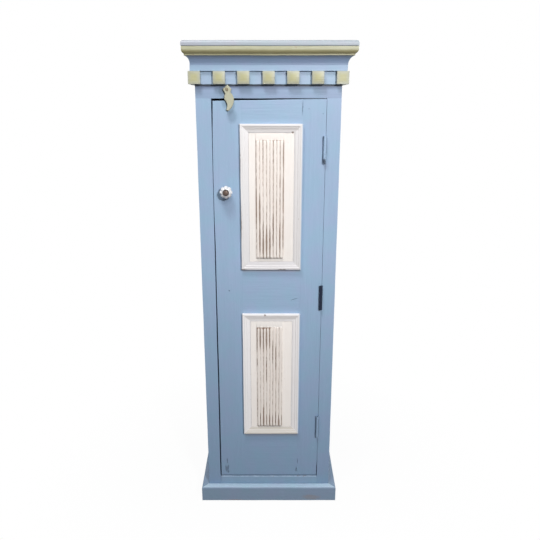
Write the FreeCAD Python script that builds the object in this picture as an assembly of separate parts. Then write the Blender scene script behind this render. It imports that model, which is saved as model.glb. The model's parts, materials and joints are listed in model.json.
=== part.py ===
import FreeCAD, Part
import math
import os

from FreeCAD import Vector

# A tall, narrow painted cupboard with one door, in millimetres.
# X runs to the viewer's right, Y to the back, Z up. The floor is z = 0.

# Carcase
cabinet_height = 1525.0
body_width = 425.0
body_depth = 340.0
side_thickness = 18.0
housing_depth = 6.0
floor_thickness = 18.0
shelf_thickness = 18.0
shelf_count = 3
shelf_setback = 46.0

# Back boards, tongued and grooved, in a rebate of the sides
back_thickness = 12.0
back_rebate = 9.0
back_board_count = 3
tongue_length = 6.0
tongue_thickness = 4.0
tongue_end_gap = 0.5

# Face frame
face_thickness = 22.0
left_stile_width = 42.5
right_stile_width = 42.0
frieze_show = 38.5
sill_show = 30.5
sill_height = 60.0
face_tenon_length = 26.0
face_tenon_thickness = 8.0
face_tenon_shoulder = 10.0
mortise_end_gap = 1.0

# Lath behind the left stile that stops the door
stop_thickness = 12.0
stop_overlap = 8.0

# Plinth boards
plinth_height = 54.0
plinth_projection = 24.0
plinth_edge_radius = 4.5

# Cornice, from the top board down to the dentils
cornice_board_thickness = 16.0
cornice_board_projection = 36.0
cornice_top_radius = 8.0
cornice_low_radius = 3.5
ovolo_height = 23.5
ovolo_top_projection = 35.0
ovolo_band_height = 8.0
ovolo_fillet_height = 4.0
ovolo_fillet_projection = 27.5
cove_height = 21.5
cove_top_projection = 26.0
fillet_height = 19.0
fillet_projection = 12.5
dentil_height = 36.0
dentil_width = 35.0
dentil_count = 7
dentil_projection = 17.5
dentil_backing = 5.0
mitre_margin = 1.0

# Door and the gaps round it
door_thickness = 21.5
door_gap_left = 3.5
door_gap_right = 1.5
door_gap_top = 3.5
door_gap_bottom = 3.5
door_tenon_length = 40.0
door_tenon_shoulder = 14.0

# Panel frames on the door: margins run to the outside of the mouldings
left_margin = 81.5
right_margin = 67.0
top_margin = 68.0
lock_margin = 150.0
bottom_margin = 175.0
upper_frame_extra = 4.0

# Panels, held in grooves of the door frame
panel_thickness = 10.0
panel_recess = 4.5
panel_tongue = 8.0
panel_groove_gap = 1.0
field_proud = 5.0

# Bolection moulding round each panel
moulding_width = 25.0
moulding_overlap = 2.0
moulding_lap_gap = 0.2
moulding_proud = 11.5
moulding_rim = 7.0
moulding_edge_radius = 1.5
moulding_step = 1.2
moulding_band_width = 7.0
moulding_band_fall = 1.4

# Reeded tablets: margins run from the inside of the mouldings
upper_tablet_left_margin = 21.5
upper_tablet_right_margin = 31.0
upper_tablet_foot = 12.0
lower_tablet_left_margin = 21.0
lower_tablet_right_margin = 32.0
lower_tablet_foot = 5.0
tablet_top_margin = 1.0
tablet_base = 3.5
tablet_edge = 0.7
reed_spacing = 10.3
reed_gap = 1.6
reed_rise = 2.2
reed_run_out = 28.0

# Melon knob on a through bolt
knob_from_edge = 38.4
knob_from_top = 267.0
knob_diameter = 41.5
knob_lobes = 8
knob_lobe_facets = 5
knob_lobe_radius = 9.0
knob_rings = 8
knob_depth = 27.0
knob_seat_depth = 1.5
collar_foot_diameter = 24.0
collar_neck_diameter = 17.0
collar_height = 8.0
cap_diameter = 20.0
cap_height = 6.0
cap_steps = 2
knob_bolt_diameter = 5.0
knob_bolt_spare = 3.0
nut_width = 8.0
nut_height = 4.0
nut_washer_diameter = 15.0
nut_washer_thickness = 1.2
bolt_clearance = 0.05

# Turn button that holds the door shut
button_from_left = 92.5
button_above_opening = 24.5
button_thickness = 9.0
button_standoff = 0.3
button_edge_radius = 1.5
button_head_radius = 13.4
button_tail = 58.8
button_screw_diameter = 5.0
button_screw_head_diameter = 9.0
button_screw_head_height = 3.0
button_screw_head_steps = 2
button_screw_grip = 16.0
button_clearance = 0.06

# Butt hinges
hinge_length = 80.0
hinge_from_top = 142.5
hinge_from_bottom = 200.0
middle_hinge_rise = 2.5
barrel_diameter = 11.0
barrel_clearance = 0.3
knuckle_count = 3
knuckle_gap = 0.3
leaf_thickness = 2.0
leaf_reach = 19.0
hinge_pin_diameter = 5.0
pin_clearance = 0.05
pin_seat_clearance = 0.02

# Countersunk screws in the hinge leaves
leaf_screw_count = 3
leaf_screw_inset = 13.0
leaf_screw_length = 18.0
leaf_screw_diameter = 3.5
leaf_screw_head_diameter = 7.0
leaf_screw_sides = 6
screw_clearance = 0.02

# Levels and planes worked out from the sizes above
half_width = body_width / 2
knob_projection = collar_height + knob_depth - knob_seat_depth + cap_height
front_reach = max(knob_projection, cornice_board_projection)
face_y = -(body_depth - front_reach) / 2
back_y = face_y + body_depth
face_back = face_y + face_thickness
boards_front = back_y - back_thickness
inner_half = half_width - side_thickness
sill_top = plinth_height + sill_show
board_bottom = cabinet_height - cornice_board_thickness
ovolo_bottom = board_bottom - ovolo_height
cove_bottom = ovolo_bottom - cove_height - fillet_height
dentil_bottom = cove_bottom - dentil_height
opening_top = dentil_bottom - frieze_show
opening_left = -half_width + left_stile_width
opening_right = half_width - right_stile_width
door_left = opening_left + door_gap_left
door_right = opening_right - door_gap_right
door_top = opening_top - door_gap_top
door_bottom = sill_top + door_gap_bottom
door_back = face_y + door_thickness
frame_left = door_left + left_margin
frame_right = door_right - right_margin
frame_heights = door_top - door_bottom - top_margin - lock_margin - bottom_margin
upper_frame_top = door_top - top_margin
upper_frame_bottom = upper_frame_top - (frame_heights + upper_frame_extra) / 2
lower_frame_top = upper_frame_bottom - lock_margin
lower_frame_bottom = door_bottom + bottom_margin
panel_front = face_y + panel_recess
panel_back = panel_front + panel_thickness
field_front = face_y - field_proud
compartment = (board_bottom - sill_top - shelf_count * shelf_thickness) / (shelf_count + 1)
upper_hinge = door_top - hinge_from_top
lower_hinge = door_bottom + hinge_from_bottom
middle_hinge = (upper_hinge + lower_hinge) / 2 + middle_hinge_rise
hinge_heights = {"upper": upper_hinge, "middle": middle_hinge, "lower": lower_hinge}
hinge_x = opening_right + leaf_thickness - barrel_diameter / 2
hinge_y = face_y - barrel_clearance - barrel_diameter / 2
knob_x = door_left + knob_from_edge
knob_z = door_top - knob_from_top
button_x = -half_width + button_from_left
button_z = opening_top + button_above_opening
button_back = face_y - button_standoff
button_front = button_back - button_thickness


def box(x0, x1, y0, y1, z0, z1):
    """A block between two opposite corners."""
    return Part.makeBox(x1 - x0, y1 - y0, z1 - z0, Vector(x0, y0, z0))


def prism(points, rise):
    """A straight prism on a closed polygon."""
    return Part.Face(Part.makePolygon(points + points[:1])).extrude(rise)


def line(start, end):
    return Part.makeLine(start, end)


def arc(start, middle, end):
    return Part.Arc(start, middle, end).toShape()


def turned(points, centre):
    """A solid turned about a line along Y, from (radius, distance in front of the face) points."""
    outline = [Vector(centre.x + radius, face_y - reach, centre.z) for radius, reach in points]
    section = Part.Face(Part.makePolygon(outline + outline[:1]))
    return section.revolve(Vector(centre.x, face_y, centre.z), Vector(0, 1, 0), 360)


def flat_sided(rings):
    """A solid with flat sides, from closed rings of corners that follow each other."""
    faces = []
    for ring in (rings[0], rings[-1]):
        faces.append(Part.Face(Part.makePolygon(ring + ring[:1])))
    for ring, after in zip(rings, rings[1:]):
        for index in range(len(ring)):
            corners = [ring[index - 1], ring[index], after[index], after[index - 1]]
            faces.append(Part.Face(Part.makePolygon(corners + corners[:1])))
    return Part.makeSolid(Part.makeShell(faces))


def save(node, shape):
    """Write one node's solid, or its group of solids."""
    shape.exportStep(os.path.join("parts", node + ".step"))


def save_group(node, solids):
    save(node, Part.makeCompound(solids))


def shelf_bottom(index):
    """Underside of a shelf, counted from the lowest."""
    return sill_top + (index + 1) * compartment + index * shelf_thickness


# Sides, floor, shelves and back


def housed_board(front, bottom, thickness):
    """A board whose ends are let into both sides."""
    reach = inner_half + housing_depth
    return box(-reach, reach, front, boards_front, bottom, bottom + thickness)


def floor_board():
    return housed_board(face_back, sill_top - floor_thickness, floor_thickness)


def shelf(index):
    return housed_board(face_y + shelf_setback, shelf_bottom(index), shelf_thickness)


def side_panel(hand):
    """A side board with a rebate for the back and housings for the floor and shelves."""
    inner, outer = sorted((hand * inner_half, hand * half_width))
    board = box(inner, outer, face_back, back_y, 0, board_bottom)
    rebate = sorted((hand * inner_half, hand * (half_width - back_rebate)))
    cuts = [box(*rebate, boards_front, back_y, sill_top - floor_thickness, board_bottom), floor_board()]
    cuts += [shelf(index) for index in range(shelf_count)]
    return board.cut(cuts)


def back_board(index):
    """One upright back board: a groove on its left edge and a tongue on its right, inside the row."""
    width = 2 * (half_width - back_rebate) / back_board_count
    left = -half_width + back_rebate + index * width
    right = left + width
    low = sill_top - floor_thickness
    middle = (boards_front + back_y) / 2
    tongue_y = (middle - tongue_thickness / 2, middle + tongue_thickness / 2)
    board = box(left, right, boards_front, back_y, low, board_bottom)
    if index > 0:
        groove_end = left + tongue_length + tongue_end_gap
        board = board.cut(box(left, groove_end, *tongue_y, low, board_bottom))
    if index < back_board_count - 1:
        board = board.fuse(box(right, right + tongue_length, *tongue_y, low, board_bottom))
    return board.removeSplitter()


def door_stop():
    right = opening_left + stop_overlap
    return box(-inner_half, right, face_back, face_back + stop_thickness, sill_top, opening_top)


# Face frame


def tenon_depths():
    """Front and back of every tenon in the face frame."""
    middle = face_y + face_thickness / 2
    return middle - face_tenon_thickness / 2, middle + face_tenon_thickness / 2


def sill_tenons(end_gap):
    """Both end tenons of the sill rail, or with an end gap their mortises."""
    up = (sill_top - sill_height + face_tenon_shoulder, sill_top - face_tenon_shoulder)
    reach = face_tenon_length + end_gap
    left = box(opening_left - reach, opening_left, *tenon_depths(), *up)
    right = box(opening_right, opening_right + reach, *tenon_depths(), *up)
    return [left, right]


def sill_rail():
    rail = box(opening_left, opening_right, face_y, face_back, sill_top - sill_height, sill_top)
    return rail.fuse(sill_tenons(0)).removeSplitter()


def stile_tenon(left, right, end_gap):
    """The tenon on top of a stile, or with an end gap its mortise in the frieze."""
    across = (left + face_tenon_shoulder, right - face_tenon_shoulder)
    return box(*across, *tenon_depths(), opening_top, opening_top + face_tenon_length + end_gap)


def face_stile(left, right):
    """An upright of the face frame, under the frieze and beside the sill."""
    stile = box(left, right, face_y, face_back, 0, opening_top).cut(sill_tenons(mortise_end_gap))
    return stile.fuse(stile_tenon(left, right, 0)).removeSplitter()


def frieze_rail():
    """The board across the top of both stiles, with a mortise for each."""
    board = box(-half_width, half_width, face_y, face_back, opening_top, board_bottom)
    left = stile_tenon(-half_width, opening_left, mortise_end_gap)
    right = stile_tenon(opening_right, half_width, mortise_end_gap)
    return board.cut([left, right])


# Runs of moulding round the front and the two sides, mitred at the front corners


def mitre_corner(hand, reach):
    """A point on the mitre line of a front corner, a distance out from the body."""
    return Vector(hand * (half_width + reach), face_y - reach, 0)


def front_wedge(reach):
    near = -mitre_margin
    far = reach + mitre_margin
    outline = [mitre_corner(-1, near), mitre_corner(1, near), mitre_corner(1, far), mitre_corner(-1, far)]
    return prism(outline, Vector(0, 0, cabinet_height))


def side_wedge(hand, reach):
    near = mitre_corner(hand, -mitre_margin)
    far = mitre_corner(hand, reach + mitre_margin)
    rear = back_y + mitre_margin
    outline = [near, far, Vector(far.x, rear, 0), Vector(near.x, rear, 0)]
    return prism(outline, Vector(0, 0, cabinet_height))


def mitred_runs(profile, reach):
    """The front, left and right pieces of one moulding. The profile is given as (projection, height)."""
    end = half_width + reach
    front = profile(lambda out, up: Vector(-end, face_y - out, up)).extrude(Vector(2 * end, 0, 0))
    runs = {"front": front.common(front_wedge(reach))}
    for side, hand in (("left", -1), ("right", 1)):
        section = profile(lambda out, up: Vector(hand * (half_width + out), face_y - reach, up))
        runs[side] = section.extrude(Vector(0, body_depth + reach, 0)).common(side_wedge(hand, reach))
    return runs


def plinth_profile(place):
    """A flat board with its top front edge rounded over."""
    radius = plinth_edge_radius
    shoulder = plinth_height - radius
    bow = radius * math.sqrt(0.5)
    start = place(plinth_projection, shoulder)
    middle = place(plinth_projection - radius + bow, shoulder + bow)
    end = place(plinth_projection - radius, plinth_height)
    foot = [place(0, plinth_height), place(0, 0), place(plinth_projection, 0)]
    edges = [arc(start, middle, end), line(end, foot[0]), line(foot[0], foot[1])]
    edges += [line(foot[1], foot[2]), line(foot[2], start)]
    return Part.Face(Part.Wire(edges))


def cove_profile(place):
    """A flat fillet below, then a hollow that leaves it upright and flares outward."""
    hollow_start = ovolo_bottom - cove_height
    flare = cove_top_projection - fillet_projection
    radius = (flare ** 2 + cove_height ** 2) / (2 * flare)
    sweep = math.asin(cove_height / radius)
    half_out = fillet_projection + radius * (1 - math.cos(sweep / 2))
    half_up = hollow_start + radius * math.sin(sweep / 2)
    low = place(fillet_projection, hollow_start)
    high = place(cove_top_projection, ovolo_bottom)
    corners = [place(0, ovolo_bottom), place(0, cove_bottom), place(fillet_projection, cove_bottom)]
    edges = [arc(low, place(half_out, half_up), high), line(high, corners[0])]
    edges += [line(corners[0], corners[1]), line(corners[1], corners[2]), line(corners[2], low)]
    return Part.Face(Part.Wire(edges))


def ovolo_profile(place):
    """A small fillet below, then a full round that ends in an upright band under the top board."""
    round_start = ovolo_bottom + ovolo_fillet_height
    round_end = board_bottom - ovolo_band_height
    rise = round_end - round_start
    bulge = ovolo_top_projection - ovolo_fillet_projection
    radius = (bulge ** 2 + rise ** 2) / (2 * bulge)
    sweep = math.asin(rise / radius)
    half_out = ovolo_top_projection - radius * (1 - math.cos(sweep / 2))
    half_up = round_end - radius * math.sin(sweep / 2)
    low = place(ovolo_fillet_projection, round_start)
    high = place(ovolo_top_projection, round_end)
    corners = [place(ovolo_top_projection, board_bottom), place(0, board_bottom), place(0, ovolo_bottom)]
    corners += [place(ovolo_fillet_projection, ovolo_bottom), low]
    edges = [arc(low, place(half_out, half_up), high), line(high, corners[0])]
    edges += [line(start, end) for start, end in zip(corners, corners[1:])]
    return Part.Face(Part.Wire(edges))


def dentil_profile(place):
    corners = [place(0, dentil_bottom), place(dentil_projection, dentil_bottom)]
    corners += [place(dentil_projection, cove_bottom), place(0, cove_bottom)]
    return Part.Face(Part.makePolygon(corners + corners[:1]))


def notch_starts(first, last, count):
    """Where each notch begins along a row of evenly spaced dentils, and how wide it is."""
    pitch = (last - first - dentil_width) / (count - 1)
    starts = [first + dentil_width + index * pitch for index in range(count - 1)]
    return starts, pitch - dentil_width


def dentil_strips():
    """The strips under the cove, notched right through from top to bottom."""
    strips = mitred_runs(dentil_profile, dentil_projection)
    corner = half_width + dentil_projection
    floor_of_notch = half_width + dentil_backing
    starts, width = notch_starts(-corner, corner, dentil_count)
    front_y = (face_y - dentil_projection, face_y - dentil_backing)
    cuts = [box(start, start + width, *front_y, dentil_bottom, cove_bottom) for start in starts]
    strips["front"] = strips["front"].cut(cuts)
    front_pitch = (2 * corner - dentil_width) / (dentil_count - 1)
    side_first = face_y - dentil_projection
    side_count = max(2, 1 + round((back_y - side_first - dentil_width) / front_pitch))
    starts, width = notch_starts(side_first, back_y, side_count)
    for side, hand in (("left", -1), ("right", 1)):
        across = sorted((hand * floor_of_notch, hand * corner))
        cuts = [box(*across, start, start + width, dentil_bottom, cove_bottom) for start in starts]
        strips[side] = strips[side].cut(cuts)
    return strips


def cornice_board():
    """The top board, rounded along its front and sides."""
    reach = half_width + cornice_board_projection
    front = face_y - cornice_board_projection
    board = box(-reach, reach, front, back_y, board_bottom, cabinet_height)
    for height, radius in ((cabinet_height, cornice_top_radius), (board_bottom, cornice_low_radius)):
        edges = []
        for edge in board.Edges:
            spot = edge.CenterOfMass
            at_front_or_side = spot.y < back_y - radius
            if abs(spot.z - height) < 0.01 and at_front_or_side:
                edges.append(edge)
        board = board.makeFillet(radius, edges)
    return board


# Door frame and panels


def door_tenons(bottom, top, end_gap):
    """Both end tenons of a door rail, or with an end gap their mortises."""
    left = frame_left + moulding_overlap
    right = frame_right - moulding_overlap
    up = (bottom + door_tenon_shoulder, top - door_tenon_shoulder)
    reach = door_tenon_length + end_gap
    left_tenon = box(left - reach, left, panel_front, panel_back, *up)
    right_tenon = box(right, right + reach, panel_front, panel_back, *up)
    return [left_tenon, right_tenon]


def panel(bottom, top, extra):
    """The board of a panel, with its edges in the frame's grooves, or with an extra gap a groove itself."""
    inset = moulding_overlap - panel_tongue - extra
    left = frame_left + inset
    right = frame_right - inset
    return box(left, right, panel_front, panel_back, bottom + inset, top - inset)


def panel_grooves():
    """The grooves that both panels sit in."""
    upper = panel(upper_frame_bottom, upper_frame_top, panel_groove_gap)
    lower = panel(lower_frame_bottom, lower_frame_top, panel_groove_gap)
    return [upper, lower]


def raised_panel(bottom, top):
    """A panel with its field raised inside the moulding."""
    inset = moulding_width + moulding_lap_gap
    across = (frame_left + inset, frame_right - inset)
    field = box(*across, field_front, panel_front, bottom + inset, top - inset)
    return panel(bottom, top, 0.0).fuse(field).removeSplitter()


def rail_levels():
    """Bottom and top of each door rail."""
    lap = moulding_overlap
    return {
        "top": (upper_frame_top - lap, door_top),
        "lock": (lower_frame_top - lap, upper_frame_bottom + lap),
        "bottom": (door_bottom, lower_frame_bottom + lap),
    }


def door_rail(bottom, top):
    left = frame_left + moulding_overlap
    right = frame_right - moulding_overlap
    rail = box(left, right, face_y, door_back, bottom, top)
    rail = rail.cut(panel_grooves())
    return rail.fuse(door_tenons(bottom, top, 0)).removeSplitter()


def door_stile(left, right):
    stile = box(left, right, face_y, door_back, door_bottom, door_top)
    cuts = panel_grooves()
    for bottom, top in rail_levels().values():
        cuts += door_tenons(bottom, top, mortise_end_gap)
    return stile.cut(cuts)


# Panel mouldings and tablets


def bolection_profile(place):
    """Flat rim, then two bands that step down and fall towards the panel, as (inward, proud) places."""
    lap = moulding_overlap + moulding_lap_gap
    rim = moulding_proud
    ease = moulding_edge_radius
    bow = ease * (1 - math.sqrt(0.5))
    first_band = rim - moulding_step
    first_end = moulding_rim + moulding_band_width
    second_band = first_band - moulding_band_fall - moulding_step
    corners = [place(ease, rim), place(moulding_rim, rim), place(moulding_rim, first_band)]
    corners += [place(first_end, first_band - moulding_band_fall), place(first_end, second_band)]
    corners += [place(moulding_width, second_band - moulding_band_fall), place(moulding_width, -panel_recess)]
    corners += [place(lap, -panel_recess), place(lap, 0), place(0, 0), place(0, rim - ease)]
    edges = [line(start, end) for start, end in zip(corners, corners[1:])]
    edges += [arc(corners[-1], place(bow, rim - bow), corners[0])]
    return Part.Face(Part.Wire(edges))


def moulding_frame(bottom, top):
    """Four mitred pieces of moulding round one panel."""
    left, right = frame_left, frame_right
    width = moulding_width
    across = Vector(right - left, 0, 0)
    upward = Vector(0, 0, top - bottom)
    runs = {
        "top": (lambda u, p: Vector(left, face_y - p, top - u), across),
        "bottom": (lambda u, p: Vector(left, face_y - p, bottom + u), across),
        "left": (lambda u, p: Vector(left + u, face_y - p, bottom), upward),
        "right": (lambda u, p: Vector(right - u, face_y - p, bottom), upward),
    }
    m = mitre_margin
    outer = [(left - m, bottom - m), (right + m, bottom - m), (right + m, top + m), (left - m, top + m)]
    w = width + m
    inner = [(left + w, bottom + w), (right - w, bottom + w), (right - w, top - w), (left + w, top - w)]
    pieces = {}
    for index, side in enumerate(("bottom", "right", "top", "left")):
        place, run = runs[side]
        after = (index + 1) % len(outer)
        plan = [outer[index], outer[after], inner[after], inner[index]]
        corners = [Vector(x, face_y - moulding_proud - m, z) for x, z in plan]
        wedge = prism(corners, Vector(0, moulding_proud + panel_recess + 2 * m, 0))
        pieces[side] = bolection_profile(place).extrude(run).common(wedge)
    return pieces


def reeded_tablet(left, right, bottom, top):
    """A board of upright reeds that slopes off to the panel at its top and is cut square at its foot."""
    reed_count = int((right - left - 2 * tablet_edge) / reed_spacing)
    first = (left + right - (reed_count - 1) * reed_spacing) / 2
    half = (reed_spacing - reed_gap) / 2
    base_front = field_front - tablet_base
    crest = base_front - reed_rise
    spot = Vector(left, base_front, bottom)
    edges = [line(Vector(left, field_front, bottom), spot)]
    for index in range(reed_count):
        middle = first + index * reed_spacing
        start = Vector(middle - half, base_front, bottom)
        end = Vector(middle + half, base_front, bottom)
        edges += [line(spot, start), arc(start, Vector(middle, crest, bottom), end)]
        spot = end
    far = Vector(right, base_front, bottom)
    foot = Vector(right, field_front, bottom)
    edges += [line(spot, far), line(far, foot), line(foot, Vector(left, field_front, bottom))]
    tablet = Part.Face(Part.Wire(edges)).extrude(Vector(0, 0, top - bottom))
    slope = [Vector(left, field_front, top), Vector(left, crest, top - reed_run_out), Vector(left, crest, top)]
    return tablet.cut(prism(slope, Vector(right - left, 0, 0)))


# Knob


def knob_centre():
    return Vector(knob_x, face_y, knob_z)


def lobed_ring(centre, y, scale):
    """Corners of a ring of round lobes, square to the knob's bolt."""
    ring = knob_diameter / 2 - knob_lobe_radius
    lobe_angle = 2 * math.pi / knob_lobes
    corners = []
    for index in range(knob_lobes * knob_lobe_facets):
        lobe, facet = divmod(index, knob_lobe_facets)
        off = (facet / knob_lobe_facets - 0.5) * lobe_angle
        reach = ring * math.cos(off) + math.sqrt(knob_lobe_radius ** 2 - (ring * math.sin(off)) ** 2)
        angle = (lobe + 0.5) * lobe_angle + off
        across = scale * reach * math.cos(angle)
        up = scale * reach * math.sin(angle)
        corners.append(Vector(centre.x + across, y, centre.z + up))
    return corners


def knob_ceramic():
    """A melon of upright lobes, flat where metal meets it and bored for its bolt."""
    centre = knob_centre()
    half = knob_depth / 2
    middle_y = face_y - collar_height + knob_seat_depth - half
    widest_turn = math.asin((half - knob_seat_depth) / half)
    rings = []
    for index in range(knob_rings + 1):
        turn = (2 * index / knob_rings - 1) * widest_turn
        rings.append(lobed_ring(centre, middle_y + half * math.sin(turn), math.cos(turn)))
    bore = knob_bolt_diameter / 2 + bolt_clearance
    start = Vector(centre.x, middle_y - half, centre.z)
    hole = Part.makeCylinder(bore, knob_depth, start, Vector(0, 1, 0))
    return flat_sided(rings).cut(hole)


def knob_collar():
    """A turned metal foot between the door and the ceramic."""
    bore = knob_bolt_diameter / 2 + bolt_clearance
    foot = collar_foot_diameter / 2
    neck = collar_neck_diameter / 2
    outline = [(bore, 0), (foot, 0), (neck, collar_height), (bore, collar_height)]
    return turned(outline, knob_centre())


def dome(radius, seat, rise, steps):
    """Points of a domed head from its rim to its crown."""
    quarter = math.pi / 2
    angles = [quarter * index / steps for index in range(steps)]
    points = [(radius * math.cos(angle), seat + rise * math.sin(angle)) for angle in angles]
    return points + [(0, seat + rise)]


def knob_bolt():
    """A bolt with a domed cap that goes through the knob and the door."""
    shank = knob_bolt_diameter / 2
    cap_seat = collar_height + knob_depth - 2 * knob_seat_depth
    tail = door_thickness + nut_washer_thickness + nut_height + knob_bolt_spare
    outline = [(0, -tail), (shank, -tail), (shank, cap_seat)]
    outline += dome(cap_diameter / 2, cap_seat, cap_height + knob_seat_depth, cap_steps)
    return turned(outline, knob_centre())


def knob_nut():
    """A six-sided nut on its washer, inside the door."""
    centre = knob_centre()
    bore = knob_bolt_diameter / 2 + bolt_clearance
    corner = nut_width / math.sqrt(3)
    seat = door_back + nut_washer_thickness
    sixth = math.pi / 3
    corners = []
    for index in range(6):
        across = corner * math.cos(index * sixth)
        up = corner * math.sin(index * sixth)
        corners.append(Vector(centre.x + across, seat, centre.z + up))
    back = Vector(0, 1, 0)
    start = Vector(centre.x, door_back, centre.z)
    washer = Part.makeCylinder(nut_washer_diameter / 2, nut_washer_thickness, start, back)
    hole = Part.makeCylinder(bore, nut_washer_thickness + nut_height, start, back)
    return washer.fuse(prism(corners, Vector(0, nut_height, 0))).cut(hole).removeSplitter()


def knob_bore():
    """The hole through the door stile for the knob's bolt."""
    start = knob_centre()
    return Part.makeCylinder(knob_bolt_diameter / 2 + bolt_clearance, door_thickness, start, Vector(0, 1, 0))


# Turn button


def turn_button():
    """A pointed head over a swelling body that curls to a tip at its lower left."""
    head = button_head_radius
    tail = button_tail

    def at(out, up):
        return Vector(button_x + out, button_back, button_z + up)

    peak, right, left = at(0.12 * head, head), at(0.96 * head, 0.1 * head), at(-0.92 * head, 0.1 * head)
    neck_right, neck_left = at(0.76 * head, -0.62 * head), at(-0.34 * head, -0.96 * head)
    swell, tip_right = at(0.35 * tail, -0.53 * tail), at(0.15 * tail, -0.95 * tail)
    tip, tip_left = at(0.06 * tail, -tail), at(-0.03 * tail, -0.965 * tail)
    hollow, waist = at(0.055 * tail, -0.74 * tail), at(-0.09 * tail, -0.5 * tail)
    belly = at(-0.135 * tail, -0.35 * tail)
    edges = [line(peak, right), line(right, neck_right), arc(neck_right, swell, tip_right)]
    edges += [arc(tip_right, tip, tip_left), arc(tip_left, hollow, waist), arc(waist, belly, neck_left)]
    edges += [line(neck_left, left), line(left, peak)]
    plate = Part.Face(Part.Wire(edges)).extrude(Vector(0, -button_thickness, 0))
    front_edges = [edge for edge in plate.Edges if abs(edge.BoundBox.YMax - button_front) < 0.01]
    plate = plate.makeChamfer(button_edge_radius, front_edges)
    hole_radius = button_screw_diameter / 2 + button_clearance
    hole = Part.makeCylinder(hole_radius, button_thickness, at(0, 0), Vector(0, -1, 0))
    return plate.cut(hole)


def turn_button_screw():
    """A round-headed screw: the button turns on its shank."""
    shank = button_screw_diameter / 2
    seat = button_standoff + button_thickness + button_clearance
    outline = [(0, -button_screw_grip), (shank, -button_screw_grip), (shank, seat)]
    outline += dome(button_screw_head_diameter / 2, seat, button_screw_head_height, button_screw_head_steps)
    return turned(outline, Vector(button_x, face_y, button_z))


def button_screw_hole():
    start = Vector(button_x, face_y, button_z)
    radius = button_screw_diameter / 2 + screw_clearance
    return Part.makeCylinder(radius, button_screw_grip, start, Vector(0, 1, 0))


# Hinges


def knuckle_span(middle, index):
    """Bottom and height of one knuckle of a hinge."""
    share = hinge_length / knuckle_count
    bottom = middle - hinge_length / 2 + index * share + knuckle_gap / 2
    return bottom, share - knuckle_gap


def knuckles(middle, first, hole_radius, plate_x, plate_start):
    """Every second knuckle, each joined to the plate beside it."""
    pieces = []
    holes = []
    for index in range(first, knuckle_count, 2):
        bottom, height = knuckle_span(middle, index)
        foot = Vector(hinge_x, hinge_y, bottom)
        pieces.append(Part.makeCylinder(barrel_diameter / 2, height, foot))
        pieces.append(box(*plate_x, plate_start, face_y, bottom, bottom + height))
        holes.append(Part.makeCylinder(hole_radius, height, foot))
    return pieces, holes


def frame_plate(middle):
    low, high = middle - hinge_length / 2, middle + hinge_length / 2
    return box(opening_right, opening_right + leaf_thickness, face_y, face_y + leaf_reach, low, high)


def door_plate(middle):
    low, high = middle - hinge_length / 2, middle + hinge_length / 2
    return box(door_right - leaf_thickness, door_right, face_y, face_y + leaf_reach, low, high)


def frame_leaf(middle):
    plate_x = (opening_right, opening_right + leaf_thickness)
    hole_radius = hinge_pin_diameter / 2 + pin_seat_clearance
    pieces, holes = knuckles(middle, 0, hole_radius, plate_x, hinge_y)
    return frame_plate(middle).fuse(pieces).cut(holes + leaf_screw_sinks(middle, 1)).removeSplitter()


def door_leaf(middle):
    plate_x = (door_right - leaf_thickness, door_right)
    hole_radius = hinge_pin_diameter / 2 + pin_clearance
    wall_middle = hinge_y + (hole_radius + barrel_diameter / 2) / 2
    pieces, holes = knuckles(middle, 1, hole_radius, plate_x, wall_middle)
    return door_plate(middle).fuse(pieces).cut(holes + leaf_screw_sinks(middle, -1)).removeSplitter()


def hinge_pin(middle):
    """A plain pin, flush with the ends of the barrel."""
    foot = Vector(hinge_x, hinge_y, middle - (hinge_length - knuckle_gap) / 2)
    return Part.makeCylinder(hinge_pin_diameter / 2, hinge_length - knuckle_gap, foot)


def leaf_screw_spots(middle, hand):
    """Where each screw's head meets the face of its leaf."""
    face_x = opening_right if hand > 0 else door_right
    spread = hinge_length - 2 * leaf_screw_inset
    step = spread / (leaf_screw_count - 1)
    first = middle - spread / 2
    y = face_y + leaf_reach / 2
    return [Vector(face_x, y, first + index * step) for index in range(leaf_screw_count)]


def leaf_screw(spot, hand, clearance):
    """A countersunk screw driven along X, or with a clearance the hole for it."""
    shank_radius = leaf_screw_diameter / 2 + clearance
    head_radius = leaf_screw_head_diameter / 2 + clearance
    sections = [(0, head_radius), (leaf_thickness, shank_radius), (leaf_screw_length, shank_radius)]
    rings = []
    for depth, radius in sections:
        corners = []
        for index in range(leaf_screw_sides):
            angle = 2 * math.pi * (index + 0.5) / leaf_screw_sides
            corners.append(spot + Vector(hand * depth, radius * math.cos(angle), radius * math.sin(angle)))
        rings.append(corners)
    return flat_sided(rings)


def leaf_screw_sinks(middle, hand):
    return [leaf_screw(spot, hand, screw_clearance) for spot in leaf_screw_spots(middle, hand)]


def leaf_screws(hand):
    """All the screws of the frame leaves or of the door leaves."""
    solids = []
    for middle in hinge_heights.values():
        solids += [leaf_screw(spot, hand, 0.0) for spot in leaf_screw_spots(middle, hand)]
    return solids


def hinge_cuts(plate, hand):
    """Recesses for the leaves and holes for their screws in one stile."""
    cuts = []
    for middle in hinge_heights.values():
        cuts.append(plate(middle))
        cuts += leaf_screw_sinks(middle, hand)
    return cuts


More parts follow.
